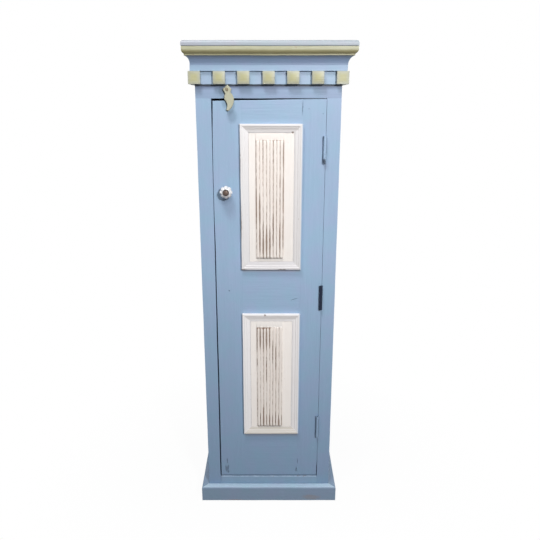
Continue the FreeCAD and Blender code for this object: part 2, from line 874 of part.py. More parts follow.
def build():
    save("floor_board", floor_board())
    for index in range(shelf_count):
        save("shelf_%d" % (index + 1), shelf(index))
    save("side_panel_left", side_panel(-1))
    save("side_panel_right", side_panel(1))
    for index in range(back_board_count):
        save("back_board_%d" % (index + 1), back_board(index))
    save("door_stop", door_stop())

    save("face_stile_left", face_stile(-half_width, opening_left))
    save("face_stile_right", face_stile(opening_right, half_width).cut(hinge_cuts(frame_plate, 1)))
    save("frieze_rail", frieze_rail().cut(button_screw_hole()))
    save("sill_rail", sill_rail())

    mouldings = {
        "plinth": mitred_runs(plinth_profile, plinth_projection),
        "dentil_strip": dentil_strips(),
        "cove": mitred_runs(cove_profile, cove_top_projection),
        "ovolo": mitred_runs(ovolo_profile, ovolo_top_projection),
    }
    for name, runs in mouldings.items():
        for side, piece in runs.items():
            save(name + "_" + side, piece)
    save("cornice_board", cornice_board())

    save("door_stile_left", door_stile(door_left, frame_left + moulding_overlap).cut(knob_bore()))
    right_stile = door_stile(frame_right - moulding_overlap, door_right)
    save("door_stile_right", right_stile.cut(hinge_cuts(door_plate, -1)))
    for name, (bottom, top) in rail_levels().items():
        save("door_%s_rail" % name, door_rail(bottom, top))
    save("upper_panel", raised_panel(upper_frame_bottom, upper_frame_top))
    save("lower_panel", raised_panel(lower_frame_bottom, lower_frame_top))
    frames = {"upper": (upper_frame_bottom, upper_frame_top), "lower": (lower_frame_bottom, lower_frame_top)}
    tablets = {
        "upper": (upper_tablet_left_margin, upper_tablet_right_margin, upper_tablet_foot),
        "lower": (lower_tablet_left_margin, lower_tablet_right_margin, lower_tablet_foot),
    }
    for name, (bottom, top) in frames.items():
        for side, piece in moulding_frame(bottom, top).items():
            save("%s_moulding_%s" % (name, side), piece)
        left_margin_in, right_margin_in, foot = tablets[name]
        left = frame_left + moulding_width + left_margin_in
        right = frame_right - moulding_width - right_margin_in
        tablet_top = top - moulding_width - tablet_top_margin
        save(name + "_tablet", reeded_tablet(left, right, bottom + moulding_width + foot, tablet_top))

    save("knob_ceramic", knob_ceramic())
    save("knob_collar", knob_collar())
    save("knob_bolt", knob_bolt())
    save("knob_nut", knob_nut())

    save("turn_button", turn_button())
    save("turn_button_screw", turn_button_screw())

    for name, middle in hinge_heights.items():
        save(name + "_hinge_frame_leaf", frame_leaf(middle))
        save(name + "_hinge_door_leaf", door_leaf(middle))
    save_group("hinge_pins", [hinge_pin(middle) for middle in hinge_heights.values()])
    save_group("frame_leaf_screws", leaf_screws(1))
    save_group("door_leaf_screws", leaf_screws(-1))


os.makedirs("parts", exist_ok=True)
build()
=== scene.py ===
"""A tall painted cupboard with one panelled door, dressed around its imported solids."""
import json
import math

import bmesh
import bpy
from bpy.props import FloatProperty, FloatVectorProperty, PointerProperty
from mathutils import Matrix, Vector, noise


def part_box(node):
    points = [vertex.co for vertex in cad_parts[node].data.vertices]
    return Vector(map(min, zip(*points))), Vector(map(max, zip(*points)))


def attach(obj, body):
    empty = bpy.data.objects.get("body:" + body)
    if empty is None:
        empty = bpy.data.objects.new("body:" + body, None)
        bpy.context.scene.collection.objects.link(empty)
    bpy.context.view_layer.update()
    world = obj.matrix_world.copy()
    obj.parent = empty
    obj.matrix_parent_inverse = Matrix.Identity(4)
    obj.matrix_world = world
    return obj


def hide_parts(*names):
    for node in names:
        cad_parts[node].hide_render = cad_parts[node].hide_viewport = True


bl_info = {
    "name": "Painted Cupboard",
    "version": (1, 0, 0),
    "blender": (4, 5, 0),
    "location": "View3D > Sidebar > Cupboard",
    "description": "Dresses the solids of a painted one-door cupboard",
    "category": "Object",
}

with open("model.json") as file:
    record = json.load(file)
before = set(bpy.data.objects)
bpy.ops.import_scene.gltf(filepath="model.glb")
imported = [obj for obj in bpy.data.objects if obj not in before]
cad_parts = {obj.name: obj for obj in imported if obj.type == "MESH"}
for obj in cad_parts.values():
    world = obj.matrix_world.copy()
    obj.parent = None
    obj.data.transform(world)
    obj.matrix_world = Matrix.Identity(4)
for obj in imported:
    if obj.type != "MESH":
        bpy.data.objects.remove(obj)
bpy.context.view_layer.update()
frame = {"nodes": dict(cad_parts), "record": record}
BODY_OF = {node: body for body, nodes in frame["record"]["behaviour"]["bodies"].items() for node in nodes}

X, Y, Z = 0, 1, 2
MERGE_DISTANCE = 0.00002
FLAT_ANGLE = math.radians(1.0)
SHARP_ANGLE = math.radians(28.0)
# A fixed seed, so that the boards stray alike each time.
STRAY_SEED = 7
# A face is a mitre where one part of its normal is next to nothing and the others are alike.
MITRE_FLAT, MITRE_SLOPE = 0.02, 0.68
# Size of the slow waves in a planed board, and how squarely a face looks one way.
BOARD_WAVE = 0.07
FACING = 0.9
# How round a lobe of the knob is; a lower power makes it flatter.
LOBE_ROUND = 0.8
# Farther than any piece, and how near a corner lies to a plane that it belongs to.
FAR = 9.0
NEAR = 0.001

# Planes and edges of the front, read from the frame.
FACE_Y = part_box("frieze_rail")[0].y
DOOR_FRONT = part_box("door_top_rail")[0].y
DOOR_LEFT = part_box("door_stile_left")[0].x
DOOR_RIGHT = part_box("door_stile_right")[1].x
DOOR_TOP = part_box("door_stile_left")[1].z
DOOR_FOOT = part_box("door_bottom_rail")[0].z
OPENING_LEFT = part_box("face_stile_left")[1].x
OPENING_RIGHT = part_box("face_stile_right")[0].x
OPENING_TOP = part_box("frieze_rail")[0].z
SILL_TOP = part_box("sill_rail")[1].z
BODY_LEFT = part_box("face_stile_left")[0].x
BODY_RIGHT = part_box("face_stile_right")[1].x
LEFT_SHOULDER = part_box("door_stile_left")[1].x
RIGHT_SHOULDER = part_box("door_stile_right")[0].x
PLINTH_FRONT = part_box("plinth_front")[0].y
DENTIL_FOOT, DENTIL_HEAD = (corner.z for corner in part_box("dentil_strip_front"))
COVE_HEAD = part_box("cove_front")[1].z
OVOLO_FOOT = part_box("ovolo_front")[0].z
BARREL_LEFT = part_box("upper_hinge_door_leaf")[0].x
BARREL_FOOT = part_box("upper_hinge_door_leaf")[0] + Vector((0.003, 0.003, 0.006))

# The mouldings round the panels.
UPPER_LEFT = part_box("upper_moulding_left")[0].x
UPPER_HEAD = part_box("upper_moulding_top")[1].z
UPPER_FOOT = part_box("upper_moulding_bottom")[0].z
LOWER_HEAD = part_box("lower_moulding_top")[1].z
LOWER_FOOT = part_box("lower_moulding_bottom")[0].z
MOULDING_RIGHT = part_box("upper_moulding_right")[1].x
RIM_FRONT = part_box("upper_moulding_left")[0].y


class CupboardSizes(bpy.types.PropertyGroup):
    """Small sizes of the hand-made pieces"""

    board_edge: FloatProperty(
        name="Board edge", description="Rounding of a board's worn edge",
        default=0.0016, min=0.0002, unit="LENGTH")
    trim_edge: FloatProperty(
        name="Trim edge", description="Rounding of a moulding's edge",
        default=0.0008, min=0.0001, unit="LENGTH")
    iron_edge: FloatProperty(
        name="Iron edge", description="Rounding of the ironwork", default=0.0006, min=0.0001, unit="LENGTH")
    joint_line: FloatProperty(
        name="Joint line", description="Groove where two boards meet",
        default=0.00018, min=0.00005, unit="LENGTH")
    waver: FloatProperty(
        name="Waver", description="How far planed faces and edges stray",
        default=0.0004, min=0.0, unit="LENGTH")
    cut_step: FloatProperty(
        name="Cut step", description="Distance between the loops that let an edge stray",
        default=0.03, min=0.01, unit="LENGTH")
    dentil_width: FloatProperty(
        name="Dentil width", description="Width of one dentil", default=0.035, min=0.005, unit="LENGTH")
    dentil_backing: FloatProperty(
        name="Dentil backing", description="Thickness of the strip behind the dentils",
        default=0.005, min=0.001, unit="LENGTH")
    reed_spacing: FloatProperty(
        name="Reed spacing", description="Distance between two reeds of a tablet",
        default=0.0103, unit="LENGTH")
    reed_gap: FloatProperty(
        name="Reed gap", description="Flat strip between two reeds", default=0.0016, unit="LENGTH")


class CupboardColours(bpy.types.PropertyGroup):
    """Colours of the paints, woods and metals"""

    blue_high: FloatVectorProperty(
        name="Blue, high", description="Blue paint near the cornice", subtype="COLOR",
        default=(0.312, 0.435, 0.595), min=0.0, max=1.0)
    # The darker low blue is painted shade: the paint darkens towards the floor in place of weaker light
    # there.
    blue_low: FloatVectorProperty(
        name="Blue, low", description="Grimier blue paint near the floor", subtype="COLOR",
        default=(0.208, 0.308, 0.444), min=0.0, max=1.0)
    olive: FloatVectorProperty(
        name="Olive", description="Olive paint of the cornice trim", subtype="COLOR",
        default=(0.366, 0.362, 0.240), min=0.0, max=1.0)
    white: FloatVectorProperty(
        name="White", description="White paint of panels and mouldings", subtype="COLOR",
        default=(0.875, 0.833, 0.792), min=0.0, max=1.0)
    under_paint: FloatVectorProperty(
        name="Under the paint", description="Brown wood where paint has worn off", subtype="COLOR",
        default=(0.215, 0.145, 0.105), min=0.0, max=1.0)
    pine: FloatVectorProperty(
        name="Pine", description="Bare old pine", subtype="COLOR",
        default=(0.480, 0.310, 0.175), min=0.0, max=1.0)
    glaze: FloatVectorProperty(
        name="Glaze", description="White glaze of the knob", subtype="COLOR",
        default=(0.695, 0.705, 0.725), min=0.0, max=1.0)
    bronze: FloatVectorProperty(
        name="Bronze", description="Dull bronze of the knob's cap", subtype="COLOR",
        default=(0.103, 0.075, 0.062), min=0.0, max=1.0)
    iron: FloatVectorProperty(
        name="Iron", description="Dark bare iron", subtype="COLOR",
        default=(0.010, 0.017, 0.037), min=0.0, max=1.0)


class CupboardStage(bpy.types.PropertyGroup):
    """Lamps and camera"""

    front_power: FloatProperty(
        name="Front", description="Lamp in front, a little to the right", default=66.0, min=0.0, unit="POWER")
    top_power: FloatProperty(
        name="Top", description="Lamp high over the front, a little to the left",
        default=19.0, min=0.0, unit="POWER")
    side_power: FloatProperty(
        name="Sides", description="Lamps that light the sides and the back",
        default=14.0, min=0.0, unit="POWER")
    room_light: FloatProperty(name="Room", description="Light from all round", default=0.08, min=0.0)
    lens: FloatProperty(name="Lens", description="Focal length", default=37.11, unit="CAMERA")
    tilt: FloatProperty(
        name="Tilt", description="How far the camera looks down",
        default=math.radians(16.612), subtype="ANGLE")
    camera_spot: FloatVectorProperty(
        name="Camera", description="Where the camera stands", default=(0.0043, -1.842, 1.355), subtype="XYZ")


def sizes():
    """The scene's small sizes."""
    return bpy.context.scene.cupboard_sizes


def colours():
    """The scene's colours."""
    return bpy.context.scene.cupboard_colours


# Meshes

def cad_copy(node):
    """A merged copy of a CAD node's mesh, with its flat faces made whole again."""
    mesh = bmesh.new()
    mesh.from_mesh(frame["nodes"][node].data)
    bmesh.ops.remove_doubles(mesh, verts=mesh.verts[:], dist=MERGE_DISTANCE)
    bmesh.ops.dissolve_limit(mesh, angle_limit=FLAT_ANGLE, verts=mesh.verts[:], edges=mesh.edges[:])
    return mesh


def block(low, high):
    """A box between two corners."""
    mesh = bmesh.new()
    low, high = Vector(low), Vector(high)
    bmesh.ops.create_cube(mesh, size=1.0)
    for vert in mesh.verts:
        vert.co = (low + high) / 2 + Vector(a * b for a, b in zip(vert.co, high - low))
    return mesh


def prism(outline, low, high):
    """A solid with an outline in the xy plane, between two heights."""
    mesh = bmesh.new()
    face = mesh.faces.new([mesh.verts.new((x, y, low)) for x, y in outline])
    up = bmesh.ops.extrude_face_region(mesh, geom=[face])["geom"]
    for vert in up:
        if isinstance(vert, bmesh.types.BMVert):
            vert.co.z = high
    bmesh.ops.recalc_face_normals(mesh, faces=mesh.faces[:])
    return mesh


def turned(profile, centre, steps, lobes, lobe_depth):
    """A solid turned about an axis along y, from (radius, y) pairs, with grooves between its lobes."""
    mesh = bmesh.new()
    rings = []
    for radius, depth in profile:
        if radius == 0:
            rings.append([mesh.verts.new((centre[0], depth, centre[1]))])
            continue
        ring = []
        for step in range(steps):
            angle = 2 * math.pi * step / steps
            swell = 1 - lobe_depth * (1 - abs(math.cos(lobes * angle / 2)) ** LOBE_ROUND)
            across = centre[0] + radius * swell * math.sin(angle)
            upward = centre[1] + radius * swell * math.cos(angle)
            ring.append(mesh.verts.new((across, depth, upward)))
        rings.append(ring)
    for first, second in zip(rings, rings[1:]):
        for step in range(steps):
            after = (step + 1) % steps
            corners = [first[step % len(first)], first[after % len(first)],
                       second[after % len(second)], second[step % len(second)]]
            mesh.faces.new(list(dict.fromkeys(corners)))
    bmesh.ops.recalc_face_normals(mesh, faces=mesh.faces[:])
    return mesh


def cut_across(mesh, axis, step):
    """Cut loops across a board, so that its long edges can stray."""
    spread = [vert.co[axis] for vert in mesh.verts]
    low, high = min(spread), max(spread)
    count = max(1, int((high - low) / step))
    normal = Vector((0.0, 0.0, 0.0))
    normal[axis] = 1.0
    for index in range(1, count):
        spot = normal * (low + (high - low) * index / count)
        bmesh.ops.bisect_plane(
            mesh, geom=mesh.verts[:] + mesh.edges[:] + mesh.faces[:], plane_co=spot, plane_no=normal)


def stray(mesh, amount, size):
    """Let every corner wander a little, as hand-planed and often painted wood does."""
    noise.seed_set(STRAY_SEED)
    for vert in mesh.verts:
        vert.co += amount * noise.noise_vector(vert.co / size)


def is_mitre(face):
    """Whether a face is cut at 45 degrees across a moulding."""
    biggest = sorted(abs(part) for part in face.normal)
    return biggest[0] < MITRE_FLAT and biggest[1] > MITRE_SLOPE


def weigh_edges(mesh, radius, hairline, joints):
    """Give each sharp edge its share of the rounding; edges in a joint get a hairline."""
    layer = mesh.edges.layers.float.new("bevel_weight_edge")
    for edge in mesh.edges:
        if not edge.is_manifold or edge.calc_face_angle() < SHARP_ANGLE:
            continue
        middle = (edge.verts[0].co + edge.verts[1].co) / 2
        tight = any(is_mitre(face) for face in edge.link_faces)
        for low, high in joints:
            tight = tight or all(low[i] <= middle[i] <= high[i] for i in range(3))
        edge[layer] = hairline / radius if tight else 1.0


def settle(piece):
    """Turn a piece's modifiers into plain mesh."""
    depsgraph = bpy.context.evaluated_depsgraph_get()
    made = bpy.data.meshes.new_from_object(piece.evaluated_get(depsgraph))
    piece.modifiers.clear()
    old = piece.data
    piece.data = made
    bpy.data.meshes.remove(old)
    made.name = piece.name


def raw_piece(name, mesh, materials):
    """Put a bmesh into the scene as a smooth-shaded object."""
    data = bpy.data.meshes.new(name)
    mesh.to_mesh(data)
    mesh.free()
    data.shade_smooth()
    for material in materials:
        data.materials.append(material)
    piece = bpy.data.objects.new(name, data)
    bpy.context.scene.collection.objects.link(piece)
    return piece


def stand_in(piece, *nodes):
    """Let a piece ride on its nodes' body and stand for them."""
    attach(piece, BODY_OF[nodes[0]])
    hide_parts(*nodes)


def softened(name, mesh, materials, nodes, radius, joints=(), segments=2):
    """Finish a piece with rounded edges; the rounding takes the second material."""
    weigh_edges(mesh, radius, sizes().joint_line, joints)
    piece = raw_piece(name, mesh, materials)
    bevel = piece.modifiers.new("edges", "BEVEL")
    bevel.limit_method = "WEIGHT"
    bevel.width = radius
    bevel.segments = segments
    bevel.material = 1
    shading = piece.modifiers.new("shading", "WEIGHTED_NORMAL")
    shading.keep_sharp = True
    settle(piece)
    stand_in(piece, *nodes)


def board(node, paint, edge, axis, radius=None, joints=(), bare=None, reshape=None):
    """A board copied from its CAD node, with loops along it, strayed and softened."""
    mesh = cad_copy(node)
    cut_across(mesh, axis, sizes().cut_step)
    if reshape:
        for vert in mesh.verts:
            reshape(vert.co)
    stray(mesh, sizes().waver, BOARD_WAVE)
    mesh.normal_update()
    materials = [finish(paint), finish(edge)]
    if bare:
        materials.append(finish(bare[0]))
        for face in mesh.faces:
            if face.normal.dot(Vector(bare[1])) > FACING:
                face.material_index = 2
    softened(node + "_dressed", mesh, materials, [node], radius or sizes().board_edge, joints)


# Rows of copies

ROW_SOCKETS = (
    ("Copy", "NodeSocketObject"), ("Count", "NodeSocketInt"), ("Start", "NodeSocketVector"),
    ("Step", "NodeSocketVector"), ("Shift", "NodeSocketVector"), ("Turn", "NodeSocketVector"),
    ("Waver", "NodeSocketFloat"), ("Waver Size", "NodeSocketFloat"), ("Seed", "NodeSocketInt"),
    ("Material", "NodeSocketMaterial"),
)


def row_tree():
    """The node tree that sets copies in a row, moves and turns each a little, and lets them stray."""
    tree = bpy.data.node_groups.get("row_of_copies")
    if tree:
        return tree
    tree = bpy.data.node_groups.new("row_of_copies", "GeometryNodeTree")
    tree.interface.new_socket("Geometry", in_out="OUTPUT", socket_type="NodeSocketGeometry")
    tree.interface.new_socket("Geometry", in_out="INPUT", socket_type="NodeSocketGeometry")
    for name, kind in ROW_SOCKETS:
        tree.interface.new_socket(name, in_out="INPUT", socket_type=kind)

    def add(kind, links=(), **settings):
        node = tree.nodes.new(kind)
        for key, value in settings.items():
            setattr(node, key, value)
        for key, source in links:
            tree.links.new(source, node.inputs[key])
        return node

    given = add("NodeGroupInput").outputs
    line = add("GeometryNodeMeshLine", mode="OFFSET", links=(
        ("Count", given["Count"]), ("Start Location", given["Start"]), ("Offset", given["Step"])))

    def either_way(socket):
        back = add("ShaderNodeVectorMath", operation="SCALE", links=((0, socket),))
        back.inputs["Scale"].default_value = -1.0
        return add("FunctionNodeRandomValue", data_type="FLOAT_VECTOR", links=(
            (0, back.outputs[0]), (1, socket), ("Seed", given["Seed"]))).outputs[0]

    moved = add("GeometryNodeSetPosition", links=(
        ("Geometry", line.outputs[0]), ("Offset", either_way(given["Shift"]))))
    copy = add("GeometryNodeObjectInfo", links=(("Object", given["Copy"]),))
    placed = add("GeometryNodeInstanceOnPoints", links=(
        ("Points", moved.outputs[0]), ("Instance", copy.outputs["Geometry"]),
        ("Rotation", either_way(given["Turn"]))))
    solid = add("GeometryNodeRealizeInstances", links=(("Geometry", placed.outputs[0]),))
    spot = add("ShaderNodeVectorMath", operation="DIVIDE", links=(
        (0, add("GeometryNodeInputPosition").outputs[0]), (1, given["Waver Size"])))
    cloud = add("ShaderNodeTexNoise", links=(("Vector", spot.outputs[0]),))
    centred = add("ShaderNodeVectorMath", operation="SUBTRACT", links=((0, cloud.outputs["Color"]),))
    centred.inputs[1].default_value = (0.5, 0.5, 0.5)
    offset = add("ShaderNodeVectorMath", operation="SCALE", links=(
        (0, centred.outputs[0]), ("Scale", given["Waver"])))
    strayed = add("GeometryNodeSetPosition", links=(
        ("Geometry", solid.outputs[0]), ("Offset", offset.outputs[0])))
    painted = add("GeometryNodeSetMaterial", links=(
        ("Geometry", strayed.outputs[0]), ("Material", given["Material"])))
    add("NodeGroupOutput", links=((0, painted.outputs[0]),))
    return tree


def row_of(name, copy, values):
    """A row of copies of one small object, made by the node tree and turned into plain mesh."""
    tree = row_tree()
    piece = bpy.data.objects.new(name, bpy.data.meshes.new(name))
    bpy.context.scene.collection.objects.link(piece)
    modifier = piece.modifiers.new("row", "NODES")
    modifier.node_group = tree
    chosen = {"Shift": (0.0, 0.0, 0.0), "Turn": (0.0, 0.0, 0.0), "Waver": 0.0, "Waver Size": 0.05, "Seed": 1,
              "Copy": copy, **values}
    for item in tree.interface.items_tree:
        if item.in_out == "INPUT" and item.name in chosen:
            modifier[item.identifier] = chosen[item.name]
    settle(piece)
    piece.data.shade_smooth()
    return piece


# Materials

# Noise seldom leaves this range, so the finishes stretch it from here.
NOISE_LOW, NOISE_HIGH = 0.3, 0.7
NOISE_ROUGHNESS = 0.55
# A mark is full over this share of its reach and fades over the rest.
MARK_CORE = 0.5
# Heights between which the blue goes from its low to its high colour; the darker low blue is painted shade
# towards the floor.
LOW_BLUE_Z, HIGH_BLUE_Z = 0.05, 0.85
PLAIN = (1.0, 1.0, 1.0)


class Finish:
    """One material's node tree, with short calls for the nodes that the finishes share."""

    def __init__(self, name):
        self.material = bpy.data.materials.new(name)
        self.material.use_nodes = True
        self.tree = self.material.node_tree
        self.shader = self.tree.nodes["Principled BSDF"]
        self.place = self.node("ShaderNodeTexCoord").outputs["Object"]

    def node(self, kind, inputs=(), **settings):
        """A node with its settings, and its inputs set or linked."""
        made = self.tree.nodes.new(kind)
        for key, value in settings.items():
            setattr(made, key, value)
        for key, value in inputs:
            self.feed(made.inputs[key], value)
        return made

    def feed(self, socket, value):
        """Link a socket to another, or set its value."""
        if isinstance(value, bpy.types.NodeSocket):
            self.tree.links.new(value, socket)
        elif socket.type == "RGBA" and len(value) == 3:
            socket.default_value = (*value, 1.0)
        else:
            socket.default_value = value

    def cloud(self, size, detail=3.0):
        """Noise from 0 to 1; size is its grain in metres, one number or one for each axis."""
        each = (size, size, size) if isinstance(size, float) else size
        spread = self.node("ShaderNodeMapping", (
            ("Vector", self.place), ("Scale", tuple(1 / part for part in each))))
        return self.node("ShaderNodeTexNoise", (
            ("Vector", spread.outputs[0]), ("Scale", 1.0), ("Detail", detail),
            ("Roughness", NOISE_ROUGHNESS))).outputs["Fac"]

    def streaks(self, axis, across, along, detail=3.0):
        """Noise drawn out along one axis, as brush strokes and grain are."""
        size = [across, across, across]
        size[axis] = along
        return self.cloud(tuple(size), detail)

    def span(self, value, low, high, start=0.0, end=1.0):
        """A value stretched from one range to another, held at its ends."""
        return self.node("ShaderNodeMapRange", (
            ("Value", value), (1, low), (2, high), (3, start), (4, end))).outputs[0]

    def swing(self, noise_value, low, high):
        """A noise's usual range stretched between two values."""
        return self.span(noise_value, NOISE_LOW, NOISE_HIGH, low, high)

    def maths(self, operation, first, second=0.0):
        """A sum on one or two values."""
        return self.node("ShaderNodeMath", ((0, first), (1, second)), operation=operation).outputs[0]

    def times(self, first, second):
        """One value times another."""
        return self.maths("MULTIPLY", first, second)

    def plus(self, first, second):
        """One value and another."""
        return self.maths("ADD", first, second)

    def minus(self, first, second):
        """One value less another."""
        return self.maths("SUBTRACT", first, second)

    def most(self, first, second):
        """The larger of two values."""
        return self.maths("MAXIMUM", first, second)

    def blend(self, factor, first, second, way="MIX"):
        """Two colours mixed."""
        return self.node("ShaderNodeMix", ((0, factor), (6, first), (7, second)),
                         data_type="RGBA", blend_type=way).outputs[2]

    def along(self, axis):
        """One coordinate of the place."""
        return self.node("ShaderNodeSeparateXYZ", ((0, self.place),)).outputs[axis]

    def off(self, axis, middle):
        """How far the place lies from a middle along one axis."""
        return self.maths("ABSOLUTE", self.minus(self.along(axis), middle))

    def roughened(self, amount, size):
        """The place, pushed about by noise, so that marks get ragged edges."""
        spread = self.node("ShaderNodeMapping", (("Vector", self.place), ("Scale", (1 / size,) * 3)))
        cloud = self.node("ShaderNodeTexNoise", (("Vector", spread.outputs[0]), ("Scale", 1.0)))
        centred = self.node("ShaderNodeVectorMath", (
            (0, cloud.outputs["Color"]), (1, (0.5, 0.5, 0.5))), operation="SUBTRACT")
        push = self.node("ShaderNodeVectorMath", (
            (0, centred.outputs[0]), ("Scale", amount)), operation="SCALE")
        return self.node("ShaderNodeVectorMath", (
            (0, self.place), (1, push.outputs[0])), operation="ADD").outputs[0]

    def mark(self, place, centre, reach, turn=0.0):
        """1 inside an ellipsoid on the front, falling to 0 at its edge."""
        local = self.node("ShaderNodeMapping", (
            ("Vector", place), ("Location", centre), ("Rotation", (0.0, turn, 0.0)), ("Scale", reach)),
            vector_type="TEXTURE")
        length = self.node("ShaderNodeVectorMath", ((0, local.outputs[0]),), operation="LENGTH")
        return self.span(length.outputs["Value"], MARK_CORE, 1.0, 1.0, 0.0)

    def marks(self, place, spots):
        """The strongest of several marks at each place."""
        total = None
        for centre, reach, turn in spots:
            one = self.mark(place, centre, reach, turn)
            total = one if total is None else self.most(total, one)
        return total

    def done(self, colour, roughness, height, depth, metal=0.0):
        """Feed the shader and give back the material."""
        self.feed(self.shader.inputs["Base Color"], colour)
        self.feed(self.shader.inputs["Roughness"], roughness)
        self.shader.inputs["Metallic"].default_value = metal
        bump = self.node("ShaderNodeBump", (("Strength", 1.0), ("Distance", depth), ("Height", height)))
        self.feed(self.shader.inputs["Normal"], bump.outputs[0])
        return self.material


def scaled(colour, factor):
    """A colour made lighter or darker, each part by its own factor."""
    each = factor if isinstance(factor, tuple) else (factor,) * 3
    return tuple(min(1.0, part * by) for part, by in zip(colour, each))


# Marks on the blue door: centre, reach and turn about y.
DOOR_SCARS = (
    ((0.0995, DOOR_FRONT, 1.343), (0.0011, 0.01, 0.024), 0.03),
    ((0.1010, DOOR_FRONT, 0.147), (0.0012, 0.01, 0.012), 0.0),
    ((0.0970, DOOR_FRONT, 0.106), (0.0032, 0.01, 0.0030), 0.0),
    ((-0.1455, DOOR_FRONT, 0.117), (0.0050, 0.01, 0.015), 0.2),
    ((-0.1510, DOOR_FRONT, 0.114), (0.0038, 0.01, 0.017), -0.1),
    ((-0.1440, DOOR_FRONT, 0.102), (0.0036, 0.01, 0.0070), 0.0),
    ((-0.1465, DOOR_FRONT, 0.146), (0.0018, 0.01, 0.013), 0.0),
    ((0.0965, DOOR_FRONT, 0.113), (0.0027, 0.01, 0.0100), 0.1),
    ((0.0820, DOOR_FRONT, 0.752), (0.0140, 0.01, 0.0012), -0.35),
    ((-0.1268, DOOR_FRONT, 0.780), (0.0030, 0.01, 0.0030), 0.0),
    ((0.1180, DOOR_FRONT, 1.341), (0.0014, 0.01, 0.0014), 0.0),
    ((0.1600, DOOR_FRONT, 1.328), (0.0012, 0.01, 0.0012), 0.0),
)
# Places on the plinth where brown wood shows through the paint.
PLINTH_RUBS = (
    ((0.150, PLINTH_FRONT, 0.014), (0.040, 0.01, 0.012), 0.0),
    ((-0.120, PLINTH_FRONT, 0.002), (0.035, 0.01, 0.004), 0.0),
)
# Duller plinth, greyer top board and paler plinth ledge, as shares of the door's blue.
PLINTH_TONE = (0.995, 0.925, 0.88)
# The top board's greyer blue is painted sheen.
TOP_SHEEN_TONE = (1.06, 0.83, 0.67)
# The plinth ledge's paler blue is partly dust and partly painted sheen on its upward face.
LEDGE_DUST_AND_SHEEN = (2.14, 1.86, 1.53)
# Painted shadows round the knob and the turn button: centre, reach and turn.
KNOB_AND_BUTTON_SHADOWS = (
    ((-0.1345, DOOR_FRONT, 1.083), (0.028, 0.03, 0.030), 0.0),
    ((-0.1270, DOOR_FRONT, 1.362), (0.013, 0.03, 0.026), 0.0),
    ((-0.1360, DOOR_FRONT, 1.390), (0.011, 0.03, 0.018), 0.0),
    ((-0.1070, DOOR_FRONT, 1.320), (0.018, 0.03, 0.024), 0.0),
)
# Bands of painted shade: the heights where they start and where they are full, and the share of the colour
# left.
# Painted shade: the blue is darker towards the head of the door and the frame.
HEAD_SHADE = ((0.95, 1.30, (0.905, 0.90, 0.895)),)
# Painted shadow: the door is also dark along its foot, where the gap under it lies in shade.
DOOR_SHADE = HEAD_SHADE + ((DOOR_FOOT + 0.0046, DOOR_FOOT + 0.0024, (0.56, 0.58, 0.62)),)
# Painted shadow on the frieze under the dentils: a dark line at their foot and a softer band below it.
FRIEZE_SHADOW = (
    (DENTIL_FOOT - 0.0064, DENTIL_FOOT - 0.0042, (0.13, 0.15, 0.17)),
    (DENTIL_FOOT - 0.0165, DENTIL_FOOT - 0.0070, (0.52, 0.53, 0.58)),
)
# Painted shade on the cove under the ovolo, reaching down to the top of the fillet and deepest, and warmer,
# at the cove's head.
COVE_SHADE = (
    (COVE_HEAD - 0.0255, COVE_HEAD - 0.0243, (0.69, 0.69, 0.76)),
    (COVE_HEAD - 0.010, COVE_HEAD, (0.80, 0.73, 0.66)),
)
# Painted shadow at the top of the recesses between the dentils, under the fillet.
RECESS_SHADOW = ((DENTIL_HEAD - 0.0050, DENTIL_HEAD - 0.0026, (0.88, 0.89, 0.91)),)
# The share of the colour left in the painted shadows round the knob and the turn button.
KNOB_SHADOW_SHARE = (0.72, 0.74, 0.75)
# Painted warm shadow on the door below the mouldings: their foot and how far down it reaches, the share of
# that where it is full, where it ends above the foot and to the sides, and the share of the colour left.
MOULDING_SHADOWS = ((UPPER_FOOT, 0.0125), (LOWER_FOOT, 0.0200))
SHADOW_FULL = 0.6
SHADOW_ABOVE = (0.002, 0.006)
SHADOW_ASIDE = (0.087, 0.096)
WARM_SHADOW = (0.93, 0.77, 0.72)
DENTIL_COUNT = 7
SIDE_DENTIL_COUNT = 6


def blue_base(paint, low_tone, high_tone):
    """The blue of each height, darker near the floor as painted shade."""
    level = paint.span(paint.along(Z), LOW_BLUE_Z, HIGH_BLUE_Z)
    return paint.blend(level, scaled(colours().blue_low, low_tone), scaled(colours().blue_high, high_tone))


def shadow_below_mouldings(paint, base):
    """Painted warm shadow on the door, below the foot of each moulding."""
    beside = paint.off(X, (UPPER_LEFT + MOULDING_RIGHT) / 2)
    for foot, drop in MOULDING_SHADOWS:
        below = paint.span(paint.along(Z), foot - drop, foot - drop * SHADOW_FULL)
        above = [foot + rise for rise in SHADOW_ABOVE]
        below = paint.times(below, paint.span(paint.along(Z), *above, 1.0, 0.0))
        below = paint.times(below, paint.span(beside, *SHADOW_ASIDE, 1.0, 0.0))
        base = paint.blend(below, base, WARM_SHADOW, "MULTIPLY")
    return base


